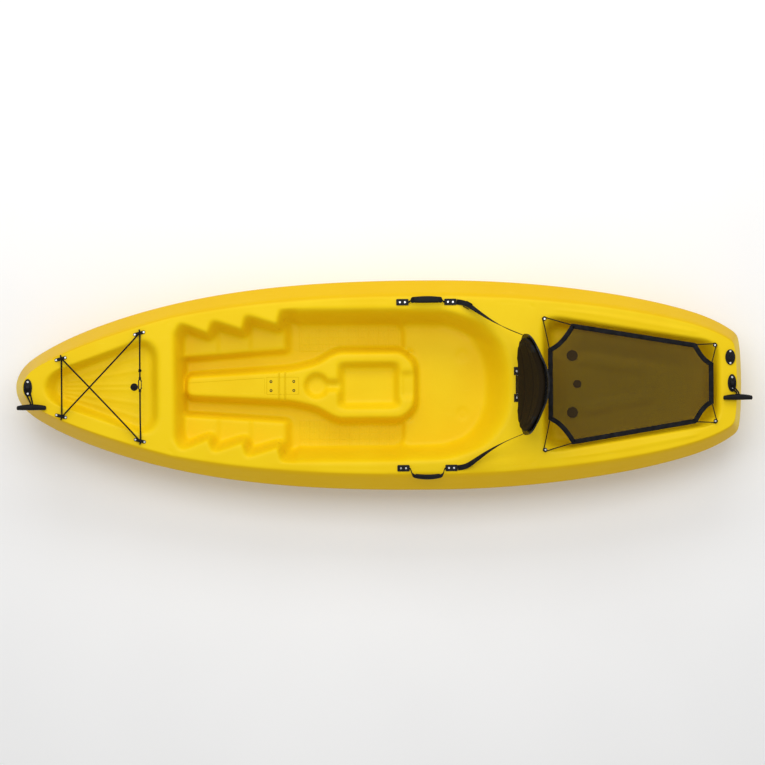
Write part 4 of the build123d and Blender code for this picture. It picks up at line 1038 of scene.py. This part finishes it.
# ---------------------------------------------------------------- side carry handles
class KAYAK_OT_carry_handles(bpy.types.Operator):
    """Makes the two side carry handles: webbing through a ribbed moulded grip"""

    bl_idname = "kayak.carry_handles"
    bl_label = "Side carry handles"

    def execute(self, context):
        for hand, name, angle, wide_band in ((1, "starboard", 80.0, 23.0), (-1, "port", 45.0, 19.0)):
            low, high = node_box(f"{name}_handle_strap")
            front, rear = low[0], high[0]
            out = np.array((0.0, hand * cos(radians(angle)), sin(radians(angle))))
            pivot = np.array((0.0, hand * 311.0, DECK + 5.0))
            arch = [
                (front - 3.0, 0.0), (front + 2.0, 2.0), (front + 4.5, 12), (front + 7, 26), (front + 13,
                    39), (front + 28, 44.5),
                ((front + rear) / 2, 45.5), (rear - 28, 44.5), (rear - 13, 39), (rear - 7,
                    26), (rear - 4.5, 12),
                (rear - 2.0, 2.0), (rear + 3.0, 0.0),
            ]
            route = soft_route([pivot + (px, 0, 0) + out * up for px, up in arch], 2.0)
            side = np.tile(np.cross((1.0, 0, 0), out), (len(route), 1))
            # The webbing is gathered by its plates, so that it clears the deck when the handle lies down.
            spread = np.clip(((route - pivot) @ out - GATHERED_TO) / SPREAD_OVER, 0, 1)
            spread = spread * spread * (3 - 2 * spread)
            gathered = GATHERED_WIDTH / wide_band
            scale = np.stack([gathered + (1 - gathered) * spread, np.ones(len(route))], axis=1)
            webbing = sweep_section(
                f"{name}_handle_webbing", route, band_section(wide_band,
                    2.4), side, finish_for("black_webbing"),
                scale=scale,
            )
            fit_piece(webbing, f"{name}_carry_handle", "black_webbing", f"{name}_handle_strap")

            grip_low, grip_high = node_box(f"{name}_handle_grip")
            span = grip_high[0] - grip_low[0]
            middle = (grip_low + grip_high) / 2
            middle[0] = grip_low[0]
            count = 70
            line = np.stack([
                middle + (span * k / count, 0,
                    0) + out * (1.5 - 6.0 * (2 * k / count - 1) ** 2) for k in range(count + 1)
            ])
            share = np.linspace(-1, 1, count + 1)
            wide = 1.0 - 0.12 * share**2
            wide = wide * np.where(np.abs(share) > 0.95, 0.86, 1.0)
            ribs = 1.0 - 0.05 * (0.5 + 0.5 * np.cos(share * span / 2 * 2 * pi / 7.0)) ** 2 * (np.abs(share) < 0.85)
            scale = np.stack([wide, wide * ribs], axis=1)
            section = [
                (0.56 * wide_band * np.sign(cos(t)) * abs(cos(t)) ** 0.8,
                    7.2 * np.sign(sin(t)) * abs(sin(t)) ** 0.8)
                for t in np.linspace(0, 2 * pi, 28, endpoint=False)
            ]
            side = np.tile(np.cross((1.0, 0, 0), out), (len(line), 1))
            grip = sweep_section(f"{name}_handle_sleeve", line, section, side, finish_for("black_rubber"),
                scale=scale)
            fit_piece(grip, f"{name}_carry_handle", "black_rubber", f"{name}_handle_grip")
        return {"FINISHED"}


# ---------------------------------------------------------------- bow bungee
def bungee_route():
    """The bungee's control points: from the hook through the four pad eyes, crossing over the well, and back."""
    under, over = 6.0, 15.5
    eyes = {
        (end, hand): (BOW + aft, hand * y, hand * 15.0)
        for end, aft, y in (("front", 184.0, 107.0), ("rear", 475.0, 201.0)) for hand in (1, -1)
    }

    def at(end, hand, height, reach=7.0, along=3.5):
        x, y, turn = eyes[(end, hand)]
        return np.array(deck_spot(x, y, along, hand * reach, height, turn))

    leg = at("rear", 1, under)
    start = np.array(deck_spot(leg[0], 0, 0, 29.0, 0)) + (0, 0, leg[2] - deck_height(leg[0]))
    finish = start * (1, 0, 1) + (0, -11.0, 0)
    crossing = [np.array(deck_spot(BOW + 290.0, 0, 0, 0, over + way * 3.6)) for way in (1, -1)]

    def hairpin(end, hand, first, last):
        middle = (first + last) / 2
        return [
            at(end, hand, first, 1.0), at(end, hand, first, 7.5), at(end, hand, middle, 13.0),
            at(end, hand, last, 7.5), at(end, hand, last, 0.0),
        ]

    points = [start, start + (0, 25, 0), start + (0, 120, 0)]
    points += hairpin("rear", 1, under, over) + [crossing[0]] + hairpin("front", -1, over, under)
    near, far = at("front", -1, under, 1.0), at("front", 1, under, 1.0)
    points += [near + (far - near) * share for share in (0.06, 0.5, 0.94)]
    points += hairpin("front", 1, under, over) + [crossing[1]] + hairpin("rear", -1, over, under)
    points += [finish + (0, -120, 0), finish + (0, -25, 0), finish]
    return points


class KAYAK_OT_bungee(bpy.types.Operator):
    """Laces the bungee over the bow well and ties its stopper knot"""

    bl_idname = "kayak.bungee"
    bl_label = "Bow bungee"

    def execute(self, context):
        cord = round_cord("bow_well_bungee", bungee_route(), 3.0, finish_for("black_cord"), step=3.0)
        fit_piece(cord, "hull", "black_cord", "bow_bungee")
        low, high = node_box("bungee_knot")
        middle = (low + high) / 2
        turns = []
        for k in range(60):
            turn = 2 * pi * k / 20
            around = 3.0 + 1.5 * sin(turn * 2 / 3)
            turns.append(middle + (around * cos(turn), 4.2 * sin(turn * 1.5) * 0.9, around * sin(turn) * 0.9))
        knot = round_cord("bungee_stopper_knot", None, 2.1, finish_for("black_cord"), closed=True,
            route=np.array(turns))
        fit_piece(knot, "hull", "black_cord", "bungee_knot")
        return {"FINISHED"}


# ---------------------------------------------------------------- stowage cover
def cover_half(x, inset=0.0):
    """Half width of the cover at x; its four corners are scooped."""
    front, rear = cover_ends()
    shoulder, hip = front + 90.0, rear - 64.0
    x = np.asarray(x, float)
    t = np.clip((x - front) / (shoulder - front), 0, 1)
    fore = 134.0 + 93.0 * t - 15.0 * np.sin(pi * t)
    sides = 227.0 + (x - shoulder) * (150.0 - 227.0) / (hip - shoulder)
    u = np.clip((x - hip) / (rear - hip), 0, 1)
    aft = 150.0 - 73.0 * u - 13.0 * np.sin(pi * u)
    return np.where(x < shoulder, fore, np.where(x < hip, sides, aft)) - inset


def cover_ends():
    low, high = node_box("cover_binding")
    return low[0], high[0]


class KAYAK_OT_stowage_cover(bpy.types.Operator):
    """Makes the mesh cover over the tank well, its binding tape and its corner elastics"""

    bl_idname = "kayak.stowage_cover"
    bl_label = "Stowage cover"

    def execute(self, context):
        front, rear = cover_ends()
        level = (node_box("cover_binding")[0][2] + node_box("cover_binding")[1][2]) / 2
        inset = 6.0
        xs = np.linspace(front + inset, rear - inset, 80)
        vs = np.linspace(-1, 1, 61)
        points, uvs = [], []
        for x in xs:
            half = float(cover_half(x, inset))
            along = (x - front) / (rear - front)
            for v in vs:
                sag = 3.2 * (1 - v**4) * sin(pi * along) ** 0.6
                points.append((x, v * half, level - sag))
                uvs.append((x * MM, v * half * MM))
        fabric = make_mesh(
            "cover_fabric", points, grid_faces(len(xs), len(vs)), finish_for("cover_mesh_fabric"), uvs
        )
        fit_piece(fabric, "hull", "mesh_fabric", "cover_mesh")

        half_width = 9.0
        edge = [(x, float(cover_half(x))) for x in np.linspace(front, rear, 90)]
        outline = np.array([(front, y) for y in np.linspace(-134, 134, 20)][:-1] + edge)
        outline = np.vstack([outline, [(rear, y) for y in np.linspace(77, -77, 12)][1:-1],
            [(x, -y) for x, y in edge[::-1]]])
        outline = outline[:-1]
        ahead = unit(np.roll(outline, -1, axis=0) - np.roll(outline, 1, axis=0))
        inward = np.stack([ahead[:, 1], -ahead[:, 0]], axis=1)
        centre = outline + inward * half_width
        route = np.column_stack([centre, np.full(len(centre), level)])
        side = np.column_stack([inward, np.zeros(len(inward))])
        tape = sweep_section(
            "cover_edge_tape", route, band_section(18.0, 3.8), side, finish_for("binding_tape"), closed=True
        )
        fit_piece(tape, "hull", "black_webbing", "cover_binding")

        for end in ("front", "rear"):
            for hand, name in ((1, "starboard"), (-1, "port")):
                low, high = node_box(f"cover_stud_{end}_{name}")
                middle = (low + high) / 2
                middle[2] = level
                if end == "front":
                    anchors = ((front, 134.0), (front + 90.0, 227.0))
                else:
                    anchors = ((rear - 64.0, 150.0), (rear, 77.0))
                anchors = [np.array((x, hand * y, level)) for x, y in anchors]
                away = unit(middle - (anchors[0] + anchors[1]) / 2)
                square = np.array((-away[1], away[0], 0.0))
                if np.dot(square, anchors[0] - middle) < 0:
                    square = -square
                loop = [anchors[0] + unit(anchors[1] - anchors[0]) * 4.0 - away * 4.0,
                    anchors[0] * 0.5 + middle * 0.5]
                loop += [middle + square * 6.6, middle + (square + away) * 6.4, middle + away * 7.6]
                loop += [middle + (away - square) * 6.4, middle - square * 6.6,
                    anchors[1] * 0.5 + middle * 0.5]
                loop += [anchors[1] + unit(anchors[0] - anchors[1]) * 4.0 - away * 4.0]
                elastic = round_cord(f"cover_elastic_loop_{end}_{name}", loop, 2.0,
                    finish_for("black_cord"), step=2.0)
                fit_piece(elastic, "hull", "black_cord", f"cover_elastic_{end}_{name}")
        return {"FINISHED"}


# ---------------------------------------------------------------- seat back
def soften_pad(piece, cap):
    """Fills a pad with light pressure so that its faces crown, moving no point further than cap."""
    rest = np.array([v.co for v in piece.data.vertices])
    cloth = add_modifier(piece, "CLOTH")
    cloth.settings.use_pressure = True
    cloth.settings.uniform_pressure_force = 4.0
    cloth.settings.effector_weights.gravity = 0.0
    cloth.settings.quality = 5
    cloth.point_cache.frame_start, cloth.point_cache.frame_end = 1, 20
    for step in range(1, 21):
        bpy.context.scene.frame_set(step)
    bake_modifiers(piece)
    moved = np.array([v.co for v in piece.data.vertices]) - rest
    far = np.maximum(np.linalg.norm(moved, axis=1, keepdims=True), 1e-9)
    moved = moved * np.minimum(1.0, cap / far)
    piece.data.vertices.foreach_set("co", (rest + moved).ravel())
    bpy.context.scene.frame_set(1)


def pad_uvs(piece):
    """Lays the weave across the pad by its width and height."""
    mesh = piece.data
    layer = mesh.uv_layers.new(name="UVMap")
    index = np.zeros(len(mesh.loops), dtype=np.int32)
    mesh.loops.foreach_get("vertex_index", index)
    co = np.array([v.co for v in mesh.vertices])[index]
    layer.data.foreach_set("uv", np.stack([co[:, 1], co[:, 2]], axis=1).astype(np.float32).ravel())


class KAYAK_OT_seat_back(bpy.types.Operator):
    """Makes the padded face of the seat back with two pulled seams and its grip patches"""

    bl_idname = "kayak.seat_back"
    bl_label = "Seat back"

    def execute(self, context):
        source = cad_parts["backrest_pad"]
        piece = bpy.data.objects.new("seat_back_pad", source.data.copy())
        context.scene.collection.objects.link(piece)
        add_modifier(piece, "REMESH", mode="VOXEL", voxel_size=0.0045)
        bake_modifiers(piece)
        add_modifier(piece, "SMOOTH", factor=0.6, iterations=12)
        bake_modifiers(piece)
        soften_pad(piece, 0.004)
        low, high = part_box("backrest_pad")
        co = np.array([v.co for v in piece.data.vertices])
        span_y, span_z = (high[1] - low[1]) / 2, high[2] - low[2]
        v, w = co[:, 1] / span_y, (co[:, 2] - low[2]) / span_z
        for seam in (0.36, 0.68):
            pull = np.exp(-(((w - seam) / 0.018) ** 2)) * (np.abs(v) < 0.86)
            normal = np.array([n.vector for n in piece.data.vertex_normals])
            front = (normal[:, 0] < -0.2).astype(float)
            co = co + np.array((0.0028, 0, 0)) * (pull * front)[:, None]
        piece.data.vertices.foreach_set("co", co.ravel())
        add_modifier(piece, "SUBSURF", levels=1, render_levels=1)
        bake_modifiers(piece)
        pad_uvs(piece)
        piece.data.materials.clear()
        piece.data.materials.append(finish_for("pad_mesh_fabric"))
        piece.data.materials.append(finish_for("black_rubber"))
        for face in piece.data.polygons:
            off_x, off_y = abs(face.center[0] - PATCH_SPOT[0]), abs(abs(face.center[1]) - PATCH_SPOT[1])
            on_patch = off_y < PATCH_HALF[1] and off_x < PATCH_HALF[0]
            face.material_index = int(face.normal[2] > 0.0 and on_patch)
        piece.data.polygons.foreach_set("use_smooth", [True] * len(piece.data.polygons))
        fit_piece(piece, "backrest", "mesh_fabric", "backrest_pad")
        return {"FINISHED"}


# ---------------------------------------------------------------- seat straps
def strap_piece(name, points, rolls, width, thick, count=120):
    """Flat webbing along points, rolled by the given degrees from lying flat."""
    rows = np.column_stack([np.asarray(points, float), rolls])
    rows = curve_through(rows, count)
    route, roll = rows[:, :3], np.radians(rows[:, 3])
    ahead = directions(route, False)
    level = unit(np.column_stack([-ahead[:, 1], ahead[:, 0], np.zeros(count)]))
    climb = np.cross(ahead, level)
    side = level * np.cos(roll)[:, None] - climb * np.sin(roll)[:, None]
    return sweep_section(name, route, band_section(width, thick), side, finish_for("black_webbing"))


class KAYAK_OT_seat_straps(bpy.types.Operator):
    """Makes the two webbing straps that hold the seat back"""

    bl_idname = "kayak.seat_straps"
    bl_label = "Seat straps"

    def execute(self, context):
        for hand, name in ((1, "starboard"), (-1, "port")):
            low, high = node_box(f"{name}_seat_strap")
            end_y = low[1] if hand > 0 else -high[1]
            route = [
                (low[0], 311.0, 1.6, 0.0), (318.0, 307.0, 5.0, 10.0), (352.0, 288.0, 24.0, 35.0),
                (405.0, 250.0, 50.0, 65.0), (470.0, 212.0, 77.0, 90.0), (high[0], end_y + 1.0, 109.0, 90.0),
            ]
            points = [(x, hand * y, DECK + z) for x, y, z, _ in route]
            rolls = [roll for *_, roll in route]
            strap = strap_piece(f"{name}_strap_webbing", points, rolls, 20.0, 2.0)
            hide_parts(f"{name}_seat_strap")
            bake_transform(strap)
        return {"FINISHED"}


# ---------------------------------------------------------------- floor, light and camera
class KAYAK_OT_stage(bpy.types.Operator):
    """Lays the pale floor, sets the studio light and places the camera over the deck"""

    bl_idname = "kayak.stage"
    bl_label = "Floor, light and camera"

    def execute(self, context):
        stage = context.scene.kayak_stage
        floor_finish, tree, surface, spots = start_finish("studio_floor", Roughness=0.9)
        noise = place(tree, "ShaderNodeTexNoise",
            {"Vector": spots.outputs["Object"], "Scale": 1.5, "Detail": 2.0})
        shade = stage.floor_shade
        tone = blend_colours(
            tree, remap(tree, noise.outputs[0], 0.3, 0.7), (shade, shade, shade, 1.0),
            (shade * 0.985, shade * 0.985, shade * 0.985, 1.0),
        )
        tree.links.new(tone, surface.inputs["Base Color"])
        reach = 14000.0
        floor = make_mesh(
            "studio_floor", [(-reach, -reach, -0.5), (reach, -reach, -0.5), (reach, reach, -0.5),
                (-reach, reach, -0.5)],
            [(0, 1, 2, 3)], floor_finish,
        )

        world = bpy.data.worlds.new("studio_world")
        world.use_nodes = True
        background = world.node_tree.nodes["Background"]
        background.inputs[0].default_value = (1.0, 1.0, 1.0, 1.0)
        background.inputs[1].default_value = stage.fill_light
        context.scene.world = world

        for name, spot, width, depth, power in (
            ("key_light", (-0.1, 3.1, 2.6), 4.2, 1.2, stage.key_light),
            ("top_light", (0.0, 1.4, 4.4), 4.0, 2.4, stage.top_light),
        ):
            data = bpy.data.lights.new(name, "AREA")
            data.shape, data.size, data.size_y, data.energy = "RECTANGLE", width, depth, power
            lamp = bpy.data.objects.new(name, data)
            lamp.location = spot
            lamp.rotation_euler = (Vector((0, 0, 0.2)) - Vector(spot)).to_track_quat("-Z", "Y").to_euler()
            context.scene.collection.objects.link(lamp)

        data = bpy.data.cameras.new("deck_camera")
        height = stage.camera_height
        data.sensor_width = 36.0
        data.lens = 36.0 * (height - 0.25) / stage.view_width
        data.clip_end = 100.0
        camera = bpy.data.objects.new("deck_camera", data)
        camera.location = (stage.view_centre[0], stage.view_centre[1], height)
        camera.rotation_euler = (0.0, 0.0, stage.camera_roll)
        context.scene.collection.objects.link(camera)
        context.scene.camera = camera
        context.scene.view_settings.view_transform = "Standard"
        return {"FINISHED"}


# ---------------------------------------------------------------- settings
class KayakHullSettings(bpy.types.PropertyGroup):
    mesh_step: bpy.props.FloatProperty(
        name="Mesh step", description="Spacing of the hull's stations along the cockpit", default=0.0048,
        min=0.003, max=0.03, unit="LENGTH",
    )
    rows_across: bpy.props.IntProperty(
        name="Rows across", description="Rows of points across the deck", default=120, min=20, max=220,
    )


class KayakFinishSettings(bpy.types.PropertyGroup):
    hull_colour: bpy.props.FloatVectorProperty(
        name="Hull", description="Colour of the moulded hull", default=(0.86, 0.60, 0.006, 1.0), size=4,
        min=0.0, max=1.0, subtype="COLOR",
    )
    # Used for the hull's random mottle, and as painted shade in the ridge's ring and grooves and, browner, on the
    # outward-facing sides.
    hull_mottle_and_shade_colour: bpy.props.FloatVectorProperty(
        name="Hull, deep", description="Colour in the hull's thicker and shaded areas",
        default=(0.80, 0.50, 0.0, 1.0), size=4, min=0.0, max=1.0, subtype="COLOR",
    )
    trim_colour: bpy.props.FloatVectorProperty(
        name="Trim", description="Colour of the black fittings, cords and webbing",
        default=(0.006, 0.006, 0.0065, 1.0), size=4, min=0.0, max=1.0, subtype="COLOR",
    )
    # Besides the fittings' wear, this is also painted as the lit crowns of the braided cords.
    trim_worn_and_lit_colour: bpy.props.FloatVectorProperty(
        name="Trim, worn", description="Colour of the fittings where they catch wear",
        default=(0.016, 0.016, 0.018, 1.0), size=4, min=0.0, max=1.0, subtype="COLOR",
    )
    mesh_colour: bpy.props.FloatVectorProperty(
        name="Mesh", description="Colour of the mesh fabric's threads", default=(0.040, 0.024, 0.008, 1.0),
        size=4, min=0.0, max=1.0, subtype="COLOR",
    )
    mesh_worn_colour: bpy.props.FloatVectorProperty(
        name="Mesh, lighter", description="Colour of the mesh fabric's lighter threads",
        default=(0.060, 0.037, 0.012, 1.0), size=4, min=0.0, max=1.0, subtype="COLOR",
    )


class KayakStageSettings(bpy.types.PropertyGroup):
    floor_shade: bpy.props.FloatProperty(
        name="Floor", description="Brightness of the floor", default=0.97, min=0.0, max=1.0, subtype="FACTOR",
    )
    fill_light: bpy.props.FloatProperty(
        name="Fill light", description="Strength of the light from all round", default=0.56, min=0.0, max=5.0,
    )
    key_light: bpy.props.FloatProperty(
        name="Key light", description="Power of the light from starboard", default=50.0, min=0.0, max=5000.0,
        unit="POWER",
    )
    top_light: bpy.props.FloatProperty(
        name="Top light", description="Power of the light overhead", default=78.0, min=0.0, max=5000.0,
        unit="POWER",
    )
    camera_height: bpy.props.FloatProperty(
        name="Camera height", description="Height of the camera above the floor", default=9.0, min=3.0, max=40.0,
        unit="LENGTH",
    )
    view_width: bpy.props.FloatProperty(
        name="View width", description="Width of the view at deck level", default=2.88, min=1.0, max=10.0,
        unit="LENGTH",
    )
    view_centre: bpy.props.FloatVectorProperty(
        name="View centre", description="Where the camera stands over the deck", default=(0.0145,
            0.0107), size=2,
        subtype="XYZ", unit="LENGTH",
    )
    camera_roll: bpy.props.FloatProperty(
        name="Camera roll", description="Turn of the camera about the way it looks", default=radians(-0.4),
        min=-3.2, max=3.2, subtype="ANGLE",
    )


OPERATORS = (
    KAYAK_OT_stage,
    KAYAK_OT_hull,
    KAYAK_OT_fittings,
    KAYAK_OT_toggles,
    KAYAK_OT_carry_handles,
    KAYAK_OT_bungee,
    KAYAK_OT_stowage_cover,
    KAYAK_OT_seat_back,
    KAYAK_OT_seat_straps,
)


class KAYAK_PT_panel(bpy.types.Panel):
    bl_idname = "KAYAK_PT_panel"
    bl_label = "Sit-on-top kayak"
    bl_space_type = "VIEW_3D"
    bl_region_type = "UI"
    bl_category = "Kayak"

    def draw(self, context):
        for settings in (context.scene.kayak_hull, context.scene.kayak_finishes, context.scene.kayak_stage):
            box = self.layout.box()
            for name in settings.bl_rna.properties.keys():
                if name not in ("rna_type", "name"):
                    box.prop(settings, name)
        for operator in OPERATORS:
            self.layout.operator(operator.bl_idname)


SETTINGS = (
    ("kayak_hull", KayakHullSettings),
    ("kayak_finishes", KayakFinishSettings),
    ("kayak_stage", KayakStageSettings),
)


def register():
    for name, group in SETTINGS:
        bpy.utils.register_class(group)
        setattr(bpy.types.Scene, name, bpy.props.PointerProperty(type=group))
    for operator in OPERATORS:
        bpy.utils.register_class(operator)
    bpy.utils.register_class(KAYAK_PT_panel)


def unregister():
    bpy.utils.unregister_class(KAYAK_PT_panel)
    for operator in reversed(OPERATORS):
        bpy.utils.unregister_class(operator)
    for name, group in reversed(SETTINGS):
        delattr(bpy.types.Scene, name)
        bpy.utils.unregister_class(group)


def main():
    register()
    for operator in OPERATORS:
        family, name = operator.bl_idname.split(".")
        getattr(getattr(bpy.ops, family), name)()


if __name__ == "__main__":
    main()
